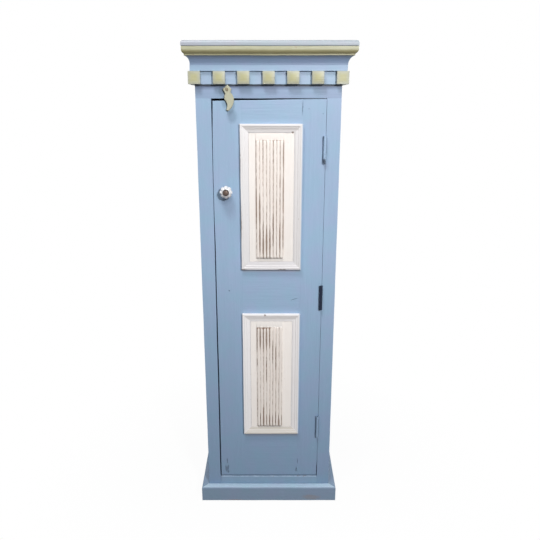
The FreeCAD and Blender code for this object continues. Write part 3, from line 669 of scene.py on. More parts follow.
def blue_paint(name, axis, scars=(), tone=PLAIN, shade_bands=(), rubs=(), painted_shadows=()):
    """Brushed blue paint over wood grain, dulled, dusted or shaded by a tone, with bands of painted shade,
    painted shadows and marks.
    """
    tint = colours()
    paint = Finish(name)
    strokes = paint.streaks(axis, 0.0045, 0.11)
    grain = paint.streaks(axis, 0.0016, 0.16, 4.0)
    patches = paint.cloud(0.055)
    base = blue_base(paint, tone, tone)
    cool = paint.blend(paint.span(patches, 0.35, 0.65), (0.96, 1.02, 1.01), (1.03, 0.985, 1.02))
    base = paint.blend(1.0, base, cool, "MULTIPLY")
    brushed = paint.blend(strokes, (0.945, 0.945, 0.95), (1.05, 1.045, 1.04))
    base = paint.blend(1.0, base, brushed, "MULTIPLY")
    thin = paint.span(paint.times(grain, paint.cloud(0.03)), 0.36, 0.46)
    base = paint.blend(paint.times(thin, 0.2), base, scaled(tint.blue_high, (1.25, 1.2, 1.15)))
    height = paint.plus(paint.times(strokes, 0.6), paint.times(grain, 0.4))
    # Bands of painted shade along the height.
    for band_start, band_full, dark in shade_bands:
        base = paint.blend(paint.span(paint.along(Z), band_start, band_full), base, dark, "MULTIPLY")
    if scars:
        hurt = paint.marks(paint.roughened(0.004, 0.004), scars)
        base = paint.blend(paint.times(hurt, 0.75), base, scaled(tint.blue_low, (0.42, 0.42, 0.45)))
        height = paint.minus(height, paint.times(hurt, 1.5))
        # Painted warm shadow below the mouldings.
        base = shadow_below_mouldings(paint, base)
    # Painted shadows round the knob and the turn button.
    if painted_shadows:
        shadowed = paint.marks(paint.roughened(0.006, 0.004), painted_shadows)
        base = paint.blend(shadowed, base, KNOB_SHADOW_SHARE, "MULTIPLY")
    if rubs:
        worn = paint.marks(paint.roughened(0.012, 0.012), rubs)
        worn = paint.times(worn, paint.swing(grain, 0.1, 0.6))
        base = paint.blend(worn, base, scaled(tint.under_paint, 1.25))
    return paint.done(base, paint.swing(strokes, 0.40, 0.54), height, 0.0007)


def blue_edge(name, tone=PLAIN):
    """Blue paint on an edge, rubbed pale, with bare spots."""
    tint = colours()
    paint = Finish(name)
    base = blue_base(paint, tone, tone)
    rub = paint.cloud(0.013, 4.0)
    pale = scaled(scaled(tint.blue_high, tone), (1.28, 1.22, 1.16))
    base = paint.blend(paint.span(rub, 0.4, 0.7, 0.0, 0.5), base, pale)
    bare = paint.span(paint.cloud(0.02, 5.0), 0.64, 0.70, 0.0, 0.7)
    base = paint.blend(bare, base, tint.under_paint)
    return paint.done(base, paint.swing(rub, 0.42, 0.6), rub, 0.0005)


def hinge_paint(name):
    """Blue paint over iron, with painted shade on both sides of the barrel where it turns away, and dark at
    its foot.
    """
    tint = colours()
    paint = Finish(name)
    cloud = paint.cloud(0.006, 4.0)
    base = blue_base(paint, 0.98, 1.0)
    base = paint.blend(paint.span(cloud, 0.55, 0.8, 0.0, 0.5), base, scaled(tint.iron, 2.0))
    # Painted shade on both flanks of the barrel.
    left = paint.span(paint.along(X), BARREL_LEFT + 0.0010, BARREL_LEFT + 0.0034, 0.52, 0.0)
    right = paint.span(paint.along(X), BARREL_LEFT + 0.0078, BARREL_LEFT + 0.0096, 0.0, 0.38)
    foot = paint.mark(paint.roughened(0.004, 0.004), BARREL_FOOT, (0.009, 0.02, 0.011))
    dark = paint.most(paint.most(left, right), paint.times(foot, 0.9))
    base = paint.blend(dark, base, tint.iron)
    return paint.done(base, paint.swing(cloud, 0.42, 0.6), cloud, 0.0005)


def dentil_row():
    """Middle of the first front dentil and the distance to the next."""
    low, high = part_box("dentil_strip_front")
    width = sizes().dentil_width
    return low.x + width / 2, (high.x - low.x - width) / (DENTIL_COUNT - 1)


def olive_paint(name, axis, shaded=False, tone=1.0, spaced=False):
    """Olive trim paint over an older yellow coat, with painted shade, darker and browner, where the round
    turns under.
    """
    olive = scaled(colours().olive, tone)
    paint = Finish(name)
    strokes = paint.streaks(axis, 0.003, 0.05)
    patches = paint.cloud(0.03, 4.0)
    base = paint.blend(strokes, scaled(olive, 0.9), scaled(olive, (1.1, 1.1, 1.12)))
    base = paint.blend(paint.span(patches, 0.45, 0.75, 0.0, 0.5), base, scaled(olive, (1.2, 1.22, 1.35)))
    bare = paint.span(paint.cloud(0.012, 5.0), 0.66, 0.72, 0.0, 0.5)
    base = paint.blend(bare, base, scaled(colours().under_paint, 1.4))
    if spaced:
        start, pitch = dentil_row()
        aside = paint.maths("PINGPONG", paint.minus(paint.along(X), start), pitch / 2)
        above = paint.off(Z, (DENTIL_FOOT + DENTIL_HEAD) / 2)
        far = paint.span(paint.most(aside, above), 0.006, 0.017)
        rubbed = paint.blend(far, (1.05, 1.02, 0.84), (1.0, 1.03, 1.22))
        base = paint.blend(1.0, base, rubbed, "MULTIPLY")
    # Painted shade where the ovolo turns under, with the fillet at its foot darkened less.
    if shaded:
        under = paint.span(paint.along(Z), OVOLO_FOOT + 0.0100, OVOLO_FOOT + 0.0175, 1.0, 0.0)
        lip = paint.span(paint.along(Z), OVOLO_FOOT + 0.0036, OVOLO_FOOT + 0.0042, 0.55, 1.0)
        base = paint.blend(paint.times(under, lip), base, (0.64, 0.58, 0.42), "MULTIPLY")
    return paint.done(base, paint.swing(strokes, 0.38, 0.52), strokes, 0.0006)


# Marks on the white paint: the worn left edge of the upper moulding, chips at its foot and in its corner,
# and one on the lower top rim.
WHITE_SCARS = (
    ((UPPER_LEFT, RIM_FRONT + 0.004, 1.010), (0.0035, 0.012, 0.075), 0.0),
    ((UPPER_LEFT, RIM_FRONT + 0.006, 1.190), (0.0022, 0.012, 0.060), 0.0),
    ((UPPER_LEFT + 0.006, RIM_FRONT + 0.004, UPPER_FOOT), (0.012, 0.012, 0.0035), 0.0),
    ((0.045, RIM_FRONT + 0.004, UPPER_FOOT), (0.020, 0.012, 0.0028), 0.0),
    ((-0.012, RIM_FRONT, LOWER_HEAD - 0.003), (0.0050, 0.012, 0.0032), 0.0),
    ((0.071, RIM_FRONT + 0.006, 1.2745), (0.0035, 0.012, 0.0035), 0.0),
)
# Painted shade in the steps of the mouldings and on the panel below the top moulding: axis, place, half width
# and strength.
LEVEL_SHADE_LINES = (
    (Z, UPPER_HEAD - 0.0076, 0.0012, 0.45), (Z, UPPER_HEAD - 0.0140, 0.0012, 0.45),
    (Z, UPPER_HEAD - 0.0225, 0.0010, 0.15),
    (Z, LOWER_HEAD - 0.0076, 0.0010, 0.30), (Z, LOWER_HEAD - 0.0140, 0.0010, 0.25),
    (Z, UPPER_HEAD - 0.0150, 0.0078, 0.17), (Z, LOWER_HEAD - 0.0130, 0.0078, 0.14),
)
UPRIGHT_SHADE_LINES = (
    (X, MOULDING_RIGHT - 0.0076, 0.0010, 0.12), (X, MOULDING_RIGHT - 0.0145, 0.0010, 0.22),
    (X, MOULDING_RIGHT - 0.0220, 0.0010, 0.20),
)
PANEL_SHADE_LINES = ((Z, UPPER_HEAD - 0.020, 0.025, 0.05),)
# The mouldings' white is cooler than the panels'.
MOULDING_TONE = (0.854, 0.873, 0.921)


def white_paint(name, axis, tone=PLAIN, lines=(), low_light_lift=1.09):
    """Old white paint, warm and patchy, lighter on the lower panel as painted light, with chips on the
    mouldings.
    """
    tint = colours()
    paint = Finish(name)
    strokes = paint.streaks(axis, 0.004, 0.08)
    patches = paint.cloud(0.05, 4.0)
    white = scaled(tint.white, tone)
    base = paint.blend(strokes, scaled(white, 0.965), scaled(white, 1.03))
    base = paint.blend(paint.span(patches, 0.45, 0.8, 0.0, 0.45), base, scaled(white, (0.95, 0.92, 0.90)))
    chips = paint.marks(paint.roughened(0.006, 0.006), WHITE_SCARS)
    flecks_and_shade = paint.span(paint.cloud(0.006, 4.0), 0.70, 0.74, 0.0, 0.35)
    # Painted shade lines in the mouldings' steps, drawn in the brown of bare wood like the wear.
    for way, middle, half, strength in lines:
        line = paint.span(paint.off(way, middle), half * 0.5, half * 1.5, strength, 0.0)
        flecks_and_shade = paint.most(flecks_and_shade, line)
    # Painted light: the white is lighter lower down, over the lower panel.
    painted_low_light = paint.blend(paint.span(paint.along(Z), LOWER_HEAD, UPPER_FOOT), (low_light_lift,) * 3, PLAIN)
    base = paint.blend(1.0, base, painted_low_light, "MULTIPLY")
    base = paint.blend(paint.most(paint.times(chips, 0.8), flecks_and_shade), base, tint.under_paint)
    lapped = paint.span(paint.along(X), MOULDING_RIGHT - 0.0042, MOULDING_RIGHT - 0.0010, 0.0, 0.8)
    base = paint.blend(lapped, base, tint.blue_high)
    height = paint.minus(strokes, paint.times(chips, 0.8))
    return paint.done(base, paint.swing(strokes, 0.42, 0.56), height, 0.0006)


def white_edge(name):
    """White paint on an edge, chipped here and there to the wood."""
    tint = colours()
    paint = Finish(name)
    rub = paint.cloud(0.010, 4.0)
    white = scaled(tint.white, MOULDING_TONE)
    base = paint.blend(rub, scaled(white, 0.94), scaled(white, 1.06))
    chips = paint.marks(paint.roughened(0.006, 0.006), WHITE_SCARS)
    bare = paint.span(paint.cloud(0.009, 5.0), 0.66, 0.73, 0.0, 0.6)
    base = paint.blend(paint.most(paint.times(chips, 0.85), bare), base, tint.under_paint)
    return paint.done(base, paint.swing(rub, 0.45, 0.6), rub, 0.0005)


# The reeded tablets: thickness of the board under the reeds, and the strip left free at each side.
TABLET_BASE = 0.0035
TABLET_EDGE = 0.0007
# Their planes: the panel's field, the floor of the grooves and the crest of the reeds.
FIELD_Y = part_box("upper_tablet")[1].y
REED_BASE_Y = FIELD_Y - TABLET_BASE
REED_CREST_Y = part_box("upper_tablet")[0].y
# How far down from a tablet's head the reeds slope, and how far its board does.
RUN_OUT = 0.028
SLOPE = RUN_OUT * (FIELD_Y - REED_BASE_Y) / (FIELD_Y - REED_CREST_Y)
# Where the paint is gone from a groove: which groove, the middle and half the length of the worn streak.
WORN_GROOVES = {
    "upper": ((1, 1.055, 0.056), (2, 1.035, 0.070), (2, 0.950, 0.055), (3, 0.945, 0.065), (4, 0.940, 0.060),
              (5, 0.940, 0.062), (6, 0.975, 0.064), (8, 0.955, 0.052), (9, 1.207, 0.055), (9, 1.080, 0.075),
              (9, 0.975, 0.060)),
    "lower": ((1, 0.622, 0.055), (1, 0.533, 0.018), (2, 0.627, 0.060), (2, 0.316, 0.034), (3, 0.627, 0.060),
              (3, 0.328, 0.050), (4, 0.622, 0.062), (4, 0.510, 0.058), (4, 0.314, 0.026), (5, 0.632, 0.052),
              (5, 0.314, 0.028), (6, 0.570, 0.044), (6, 0.312, 0.030), (7, 0.550, 0.060), (7, 0.320, 0.032),
              (8, 0.310, 0.028), (9, 0.314, 0.024)),
}
# Broad streaks, in the same form, where the crests beside a groove are rubbed too.
BROAD_STREAKS = {
    "upper": ((2, 1.040, 0.060), (2, 0.950, 0.050), (3, 0.930, 0.046), (4, 0.940, 0.050), (5, 0.938, 0.056),
              (9, 1.207, 0.055), (9, 1.090, 0.100), (9, 0.975, 0.065)),
    "lower": ((2, 0.620, 0.050), (3, 0.315, 0.034), (4, 0.622, 0.046), (8, 0.308, 0.022)),
}
# How wide both kinds of streak reach.
WORN_REACH, BROAD_REACH = 0.0090, 0.0043
# Least and most that the grooves are bare all along, and the tone of each tablet's sloping head.
GROOVE_BARE = {"upper": (0.17, 0.38), "lower": (0.08, 0.30)}
HEAD_TONE = {"upper": (0.865, 0.835, 0.83), "lower": (0.93, 0.925, 0.93)}


def reed_count(level):
    """How many reeds a tablet has and where its first groove lies."""
    low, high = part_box(level + "_tablet")
    count = int((high.x - low.x - 2 * TABLET_EDGE) / sizes().reed_spacing)
    return count, (low.x + high.x - count * sizes().reed_spacing) / 2


def groove_streaks(level, streaks, reach):
    """Upright marks along the grooves of one tablet."""
    first = reed_count(level)[1]
    return [((first + (groove - 1) * sizes().reed_spacing, REED_BASE_Y, middle), (reach, 0.02, half), 0.0)
            for groove, middle, half in streaks[level]]


def reed_paint(name, level):
    """White paint on the reeds, worn or never brushed into the grooves, so that brown wood shows."""
    tint = colours()
    paint = Finish(name)
    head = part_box(level + "_tablet")[1].z
    depth = paint.span(paint.along(Y), REED_CREST_Y + 0.0004, REED_BASE_Y - 0.0004)
    ragged = paint.streaks(Z, 0.004, 0.014, 5.0)
    drawn = paint.streaks(Z, 0.008, 0.16, 2.0)
    patchy = paint.cloud((0.03, 0.03, 0.07))
    strokes = paint.streaks(Z, 0.003, 0.07)
    base = paint.blend(
        strokes, scaled(tint.white, (0.96, 0.93, 0.91)), scaled(tint.white, (1.02, 1.00, 0.99)))
    base = paint.blend(paint.span(patchy, 0.4, 0.7, 0.0, 0.55), base, scaled(tint.white, (0.94, 0.88, 0.85)))
    gone = paint.marks(paint.place, groove_streaks(level, WORN_GROOVES, WORN_REACH))
    gone = paint.times(gone, paint.swing(ragged, 0.5, 1.0))
    bare = paint.plus(paint.times(gone, 0.6), paint.span(drawn, 0.35, 0.65, *GROOVE_BARE[level]))
    bare = paint.plus(bare, paint.times(paint.minus(ragged, 0.5), 0.85))
    reach = paint.plus(depth, paint.times(gone, 0.35))
    bare = paint.times(bare, paint.span(reach, 0.4, 0.9))
    below = paint.span(paint.along(Z), head - SLOPE - 0.0035, head - SLOPE - 0.002, 1.0, 0.0)
    bare = paint.times(paint.span(bare, 0.06, 0.52), below)
    broad = paint.marks(paint.place, groove_streaks(level, BROAD_STREAKS, BROAD_REACH))
    bare = paint.most(bare, paint.times(broad, paint.swing(ragged, 0.4, 0.8)))
    base = paint.blend(below, scaled(tint.white, HEAD_TONE[level]), base)
    base = paint.blend(paint.times(bare, 0.92), base, scaled(tint.under_paint, (1.1, 1.0, 0.95)))
    height = paint.minus(strokes, paint.times(bare, 0.5))
    return paint.done(base, paint.span(bare, 0.0, 1.0, 0.48, 0.75), height, 0.0006)


# How densely the growth rings of the bare pine follow one another.
RING_COUNT = 70.0


def bare_pine(name, axis):
    """Old unpainted pine with growth rings drawn out along the board."""
    pine = colours().pine
    wood = Finish(name)
    warp = wood.streaks(axis, 0.05, 0.5)
    rings = wood.maths("SINE", wood.times(warp, RING_COUNT))
    fibres = wood.streaks(axis, 0.0014, 0.09, 4.0)
    base = wood.blend(wood.span(rings, -1.0, 1.0), pine, scaled(pine, (0.74, 0.68, 0.60)))
    base = wood.blend(wood.swing(fibres, 0.0, 0.5), base, scaled(pine, (0.80, 0.76, 0.72)))
    base = wood.blend(wood.span(wood.cloud(0.2), 0.4, 0.7, 0.0, 0.5), base, scaled(pine, (0.62, 0.60, 0.58)))
    return wood.done(base, wood.swing(fibres, 0.62, 0.80), fibres, 0.0005)


KNOB_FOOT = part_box("knob_ceramic")[0].z
KNOB_SPOT = sum(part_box("knob_ceramic"), Vector()) / 2
KNOB_LOBES = 8
# How deep the grooves between the lobes are, and how finely the knob is turned.
KNOB_LOBE_DEPTH = 0.13
KNOB_SIDES, KNOB_RINGS = 96, 24
# Where the knob's round starts behind, how far it sweeps to the front, and how full it is.
KNOB_START, KNOB_SWEEP = 18, 136
KNOB_FULLNESS = 0.75
CRACKLE_SCALE = 260.0


def glaze(name):
    """White glaze with a fine crackle, and painted shade in the grooves and towards the foot."""
    tint = colours()
    glass = Finish(name)
    veins = glass.node("ShaderNodeTexVoronoi", (("Vector", glass.place), ("Scale", CRACKLE_SCALE)),
                       feature="DISTANCE_TO_EDGE").outputs["Distance"]
    cloud = glass.cloud(0.012)
    base = glass.blend(cloud, scaled(tint.glaze, 0.96), scaled(tint.glaze, 1.03))
    base = glass.blend(glass.span(veins, 0.0, 0.03, 0.22, 0.0), base, scaled(tint.under_paint, 2.0))
    # Painted shade towards the knob's foot.
    foot = glass.span(glass.along(Z), KNOB_FOOT, KNOB_FOOT + 0.018, 0.8, 0.0)
    base = glass.blend(foot, base, (0.76, 0.70, 0.70), "MULTIPLY")
    # Painted shade in the grooves between the lobes.
    across = glass.minus(glass.along(X), KNOB_SPOT.x)
    upward = glass.minus(glass.along(Z), KNOB_SPOT.z)
    turn = glass.times(glass.maths("ARCTAN2", across, upward), KNOB_LOBES / 2)
    notch = glass.maths("ABSOLUTE", glass.maths("COSINE", turn))
    base = glass.blend(glass.span(notch, 0.05, 0.45, 0.7, 0.0), base, (0.62, 0.60, 0.60), "MULTIPLY")
    glass.shader.inputs["Coat Weight"].default_value = 0.5
    glass.shader.inputs["Coat Roughness"].default_value = 0.06
    return glass.done(base, glass.swing(cloud, 0.10, 0.20), cloud, 0.0003)


# How much rougher the film on a metal gets than where it is polished.
FILM_SPREAD = 0.2


def metal(name, colour, rough, share, gloss=0.5):
    """Dull, handled metal with fine pits; share says how much of it is bare metal."""
    iron = Finish(name)
    iron.shader.inputs["Specular IOR Level"].default_value = gloss
    pits = iron.cloud(0.0022, 4.0)
    film = iron.cloud(0.012)
    base = iron.blend(film, scaled(colour, 0.7), scaled(colour, 1.3))
    base = iron.blend(iron.span(pits, 0.55, 0.75, 0.0, 0.6), base, scaled(colour, (1.5, 1.1, 0.8)))
    return iron.done(base, iron.swing(film, rough, rough + FILM_SPREAD), pits, 0.0003, share)


MAKERS = {
    "blue_upright": lambda name: blue_paint(name, Z, shade_bands=HEAD_SHADE),
    "blue_crosswise": lambda name: blue_paint(name, X, shade_bands=HEAD_SHADE),
    "blue_lengthwise": lambda name: blue_paint(name, Y),
    "blue_door_upright": lambda name: blue_paint(name, Z, DOOR_SCARS, shade_bands=DOOR_SHADE, painted_shadows=KNOB_AND_BUTTON_SHADOWS),
    "blue_door_crosswise": lambda name: blue_paint(name, X, DOOR_SCARS, shade_bands=DOOR_SHADE, painted_shadows=KNOB_AND_BUTTON_SHADOWS),
    "blue_plinth": lambda name: blue_paint(name, X, tone=PLINTH_TONE, rubs=PLINTH_RUBS),
    "blue_plinth_side": lambda name: blue_paint(name, Y, tone=PLINTH_TONE),
    # The frieze's darker tone is painted shade under the cornice, with the painted shadows under the dentils
    # and round the turn button.
    "blue_frieze": lambda name: blue_paint(
        name, X, tone=(0.765, 0.735, 0.76), shade_bands=FRIEZE_SHADOW, painted_shadows=KNOB_AND_BUTTON_SHADOWS),
    "blue_cove": lambda name: blue_paint(name, X, tone=(0.88, 0.865, 0.85), shade_bands=COVE_SHADE),
    "blue_inside": lambda name: blue_paint(name, Z, tone=(0.80, 0.80, 0.82)),
    "blue_shelf": lambda name: blue_paint(name, X, tone=(0.86, 0.86, 0.87)),
    # The door stop's near-black blue is painted shade, so that the gaps round the door read dark.
    "blue_stop": lambda name: blue_paint(name, Z, tone=(0.10, 0.11, 0.14)),
    "blue_recess": lambda name: blue_paint(name, X, tone=(0.95, 0.91, 0.86), shade_bands=RECESS_SHADOW),
    "blue_ledge": lambda name: blue_paint(name, X, tone=LEDGE_DUST_AND_SHEEN),
    "blue_top": lambda name: blue_paint(name, X, tone=TOP_SHEEN_TONE),
    "blue_top_edge": lambda name: blue_edge(name, TOP_SHEEN_TONE),
    "blue_sill": lambda name: blue_paint(name, X, tone=(1.10, 1.10, 1.05)),
    "blue_sill_edge": lambda name: blue_edge(name, (1.25, 1.20, 1.15)),
    "blue_hinge": hinge_paint,
    "blue_edge": blue_edge,
    "olive_dentils": lambda name: olive_paint(name, X, spaced=True),
    "olive_ovolo": lambda name: olive_paint(name, X, shaded=True),
    "olive_button": lambda name: olive_paint(name, Z, tone=(1.10, 1.10, 1.20)),
    "olive_lengthwise": lambda name: olive_paint(name, Y),
    "white_panel": lambda name: white_paint(name, Z, (0.99, 0.98, 0.98), PANEL_SHADE_LINES),
    "white_upright": lambda name: white_paint(name, Z, MOULDING_TONE, UPRIGHT_SHADE_LINES, 1.195),
    "white_crosswise": lambda name: white_paint(name, X, MOULDING_TONE, LEVEL_SHADE_LINES, 1.215),
    "white_foot_upper": lambda name: white_paint(name, X, scaled(MOULDING_TONE, (0.91, 0.91, 0.93))),
    "white_foot_lower": lambda name: white_paint(name, X, scaled(MOULDING_TONE, (0.86, 0.83, 0.75))),
    "white_edge": white_edge,
    "white_reeds_upper": lambda name: reed_paint(name, "upper"),
    "white_reeds_lower": lambda name: reed_paint(name, "lower"),
    "pine_upright": lambda name: bare_pine(name, Z),
    "glaze": glaze,
    "old_bronze": lambda name: metal(name, colours().bronze, 0.34, 0.85),
    "old_iron": lambda name: metal(name, colours().iron, 0.5, 0.3, 0.3),
    "old_steel": lambda name: metal(name, (0.34, 0.33, 0.31), 0.32, 0.95),
    "rusty_screw": lambda name: metal(name, (0.22, 0.19, 0.125), 0.55, 0.1, 0.3),
}


def finish(name):
    """A named finish, made the first time that it is asked for."""
    return bpy.data.materials.get(name) or MAKERS[name](name)


# Operators, one for each piece or group of like pieces

class CUPBOARD_OT_carcase(bpy.types.Operator):
    """Sides, floor, shelves, back boards and door stop"""

    bl_idname = "cupboard.carcase"
    bl_label = "Carcase"

    def execute(self, context):
        for node in ("side_panel_left", "side_panel_right"):
            board(node, "blue_upright", "blue_edge", Z)
        for node in ("floor_board", "shelf_1", "shelf_2", "shelf_3"):
            board(node, "blue_shelf", "blue_edge", X)
        for node in ("back_board_1", "back_board_2", "back_board_3"):
            board(node, "blue_inside", "blue_inside", Z, bare=("pine_upright", (0, 1, 0)))
        # The door stop takes a near-black blue as painted shade in the gaps.
        board("door_stop", "blue_stop", "blue_stop", Z)
        return {"FINISHED"}


# Boxes round the joints of the face frame; each stops CLEAR short of the edge that stays rounded.
CLEAR = 0.0005
FRAME_JOINTS = (
    ((-FAR, -FAR, OPENING_TOP - NEAR), (OPENING_LEFT - CLEAR, FAR, OPENING_TOP + NEAR)),
    ((OPENING_RIGHT + CLEAR, -FAR, OPENING_TOP - NEAR), (FAR, FAR, OPENING_TOP + NEAR)),
    ((OPENING_LEFT - NEAR, -FAR, -FAR), (OPENING_LEFT + NEAR, FAR, SILL_TOP - CLEAR)),
    ((OPENING_RIGHT - NEAR, -FAR, -FAR), (OPENING_RIGHT + NEAR, FAR, SILL_TOP - CLEAR)),
)
FRIEZE_EDGE, SILL_EDGE = 0.0016, 0.0035


class CUPBOARD_OT_face_frame(bpy.types.Operator):
    """Stiles, frieze and sill round the door"""

    bl_idname = "cupboard.face_frame"
    bl_label = "Face frame"

    def execute(self, context):
        for node in ("face_stile_left", "face_stile_right"):
            board(node, "blue_upright", "blue_edge", Z, joints=FRAME_JOINTS, reshape=worn_frame)
        board("frieze_rail", "blue_frieze", "blue_edge", X, FRIEZE_EDGE, FRAME_JOINTS)
        board("sill_rail", "blue_sill", "blue_sill_edge", X, SILL_EDGE, FRAME_JOINTS)
        return {"FINISHED"}


class CUPBOARD_OT_plinth(bpy.types.Operator):
    """Plinth boards at the foot"""

    bl_idname = "cupboard.plinth"
    bl_label = "Plinth"

    def execute(self, context):
        board("plinth_front", "blue_plinth", "blue_edge", X, bare=("blue_ledge", (0, 0, 1)))
        board("plinth_left", "blue_plinth_side", "blue_edge", Y)
        board("plinth_right", "blue_plinth_side", "blue_edge", Y)
        return {"FINISHED"}


def ramp(value, low, high):
    """0 below low, 1 above high."""
    return min(1.0, max(0.0, (value - low) / (high - low)))


# How far the old cornice sits to the right of the body, and the heights over which it gets there.
CORNICE_SHIFT = 0.0040
CORNICE_RISE = (1.45, 1.50)


def settled(spot):
    """The old cornice sits a little to the right of the body."""
    spot.x += CORNICE_SHIFT * ramp(spot.z, *CORNICE_RISE)


class CUPBOARD_OT_cornice(bpy.types.Operator):
    """Coves, ovolos and the rounded top board"""

    bl_idname = "cupboard.cornice"
    bl_label = "Cornice"

    def execute(self, context):
        edge = sizes().trim_edge
        for side, axis in (("front", X), ("left", Y), ("right", Y)):
            board("cove_" + side, "blue_cove", "blue_edge", axis, edge, reshape=settled)
            board("ovolo_" + side, "olive_ovolo", "olive_ovolo", axis, edge, reshape=settled)
        board("cornice_board", "blue_top", "blue_top_edge", X, edge, reshape=settled)
        return {"FINISHED"}


# Space above and below a dentil between its neighbours.
DENTIL_PLAY = 0.0003


def dentil_copy(width, depth, height):
    """One dentil with rounded edges, its back face centred on the origin's height and width."""
    mesh = block((-width / 2, -depth, -height / 2), (width / 2, 0.0, height / 2))
    bmesh.ops.bevel(
        mesh, geom=mesh.edges[:], offset=sizes().trim_edge, segments=2, profile=0.5, affect="EDGES")
    return mesh


class CUPBOARD_OT_dentils(bpy.types.Operator):
    """Blue backing strips and the olive dentils along them"""

    bl_idname = "cupboard.dentils"
    bl_label = "Dentils"

    def execute(self, context):
        low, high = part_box("dentil_strip_front")
        width, backing = sizes().dentil_width, sizes().dentil_backing
        middle = (low.z + high.z) / 2
        depth = FACE_Y - low.y - backing
        self.backing(low, high, backing)
        copy = raw_piece("dentil_copy", dentil_copy(width, depth, high.z - low.z - 2 * DENTIL_PLAY), [])
        start, pitch = dentil_row()
        front = row_of("dentils_front", copy, {
            "Count": DENTIL_COUNT - 2, "Start": (start + pitch, FACE_Y - backing, middle),
            "Step": (pitch, 0.0, 0.0), "Shift": (0.0012, 0.0004, 0.0003), "Turn": (0.0, 0.012, 0.0),
            "Waver": 0.001, "Seed": 3, "Material": finish("olive_dentils")})
        stand_in(front, "dentil_strip_front")
        for side, hand in (("left", -1), ("right", 1)):
            self.side_row(side, hand, copy, width, backing, middle)
            self.corner(side, hand, low, high, width, depth)
        bpy.data.objects.remove(copy)
        return {"FINISHED"}

    def backing(self, low, high, backing):
        """Blue strips behind the dentils."""
        left, right = BODY_LEFT - backing, BODY_RIGHT + backing
        for side, axis, start, end in (
                ("front", X, (left, FACE_Y - backing), (right, FACE_Y)),
                ("left", Y, (left, FACE_Y), (BODY_LEFT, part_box("dentil_strip_left")[1].y)),
                ("right", Y, (BODY_RIGHT, FACE_Y), (right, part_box("dentil_strip_right")[1].y))):
            mesh = block((*start, low.z), (*end, high.z))
            cut_across(mesh, axis, sizes().cut_step)
            softened("dentil_backing_" + side, mesh, [finish("blue_recess")] * 2,
                     ["dentil_strip_" + side], sizes().joint_line)

    def side_row(self, side, hand, copy, width, backing, middle):
        """Dentils along one side, turned to face outwards."""
        node = "dentil_strip_" + side
        low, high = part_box(node)
        pitch = (high.y - low.y - width) / (SIDE_DENTIL_COUNT - 1)
        turned_copy = raw_piece("dentil_copy_side", self.facing(copy, hand), [])
        edge = BODY_LEFT - backing if hand < 0 else BODY_RIGHT + backing
        row = row_of("dentils_" + side, turned_copy, {
            "Count": SIDE_DENTIL_COUNT - 1, "Start": (edge, low.y + width / 2 + pitch, middle),
            "Step": (0.0, pitch, 0.0), "Shift": (0.0003, 0.0008, 0.0003), "Waver": 0.001, "Seed": 5,
            "Material": finish("olive_lengthwise")})
        bpy.data.objects.remove(turned_copy)
        stand_in(row, node)

    def facing(self, copy, hand):
        """The dentil's mesh turned from the front to a side."""
        mesh = bmesh.new()
        mesh.from_mesh(copy.data)
        for vert in mesh.verts:
            vert.co = Vector((-hand * vert.co.y, hand * vert.co.x, vert.co.z))
        return mesh

    def corner(self, side, hand, low, high, width, depth):
        """The dentil that turns a corner, cut from one block."""
        out = low.x if hand < 0 else high.x
        outline = [
            (out, low.y), (out - hand * width, low.y), (out - hand * width, low.y + depth),
            (out - hand * depth, low.y + depth), (out - hand * depth, low.y + width), (out, low.y + width)]
        mesh = prism(outline, low.z + DENTIL_PLAY, high.z - DENTIL_PLAY)
        olive = finish("olive_dentils")
        softened("dentil_corner_" + side, mesh, [olive, olive], ["dentil_strip_" + side], sizes().trim_edge)


DOOR_JOINTS = (
    ((LEFT_SHOULDER - NEAR, -FAR, -FAR), (LEFT_SHOULDER + NEAR, FAR, FAR)),
    ((RIGHT_SHOULDER - NEAR, -FAR, -FAR), (RIGHT_SHOULDER + NEAR, FAR, FAR)),
)
# The gap left of the door: how far it leans right at its head and left at its foot, and over which heights.
# Heights that run downwards are written as negative ones.
LEAN_RIGHT, LEAN_UP = 0.0024, (0.75, 1.33)
LEAN_LEFT, LEAN_DOWN = 0.0012, (-0.45, -0.10)
# The gap is wider below, where the frame stands back, and starts just above the sill.
GAP_WIDER, GAP_DOWN = 0.0010, (-0.75, -0.60)
GAP_START = (SILL_TOP - 0.002, SILL_TOP + 0.010)
# The door's top: how far it rises over its width and drops as a whole.
TOP_RISE, TOP_DROP = 0.0050, 0.0030
# The door's left edge: a swelling between two heights and a rubbed corner at its head.
SWELLING, SWELL_DOWN, SWELL_UP = 0.0017, (-1.315, -1.255), (0.93, 1.03)
CORNER_RUB, CORNER_UP = 0.0014, (1.325, 1.355)
# The door's right edge: drawn in at its foot and swollen above.
FOOT_RUB, RIGHT_SWELL, RIGHT_UP = 0.0014, 0.0020, (0.115, 0.150)


def lean(z):
    """How far the gap left of the door stands off plumb at a height."""
    return LEAN_RIGHT * ramp(z, *LEAN_UP) - LEAN_LEFT * ramp(-z, *LEAN_DOWN)


def worn_frame(spot):
    """The left stile's inner edge follows the lean of the gap."""
    if abs(spot.x - OPENING_LEFT) < NEAR:
        wider = lean(spot.z) - GAP_WIDER * ramp(-spot.z, *GAP_DOWN)
        spot.x += wider * ramp(spot.z, *GAP_START)


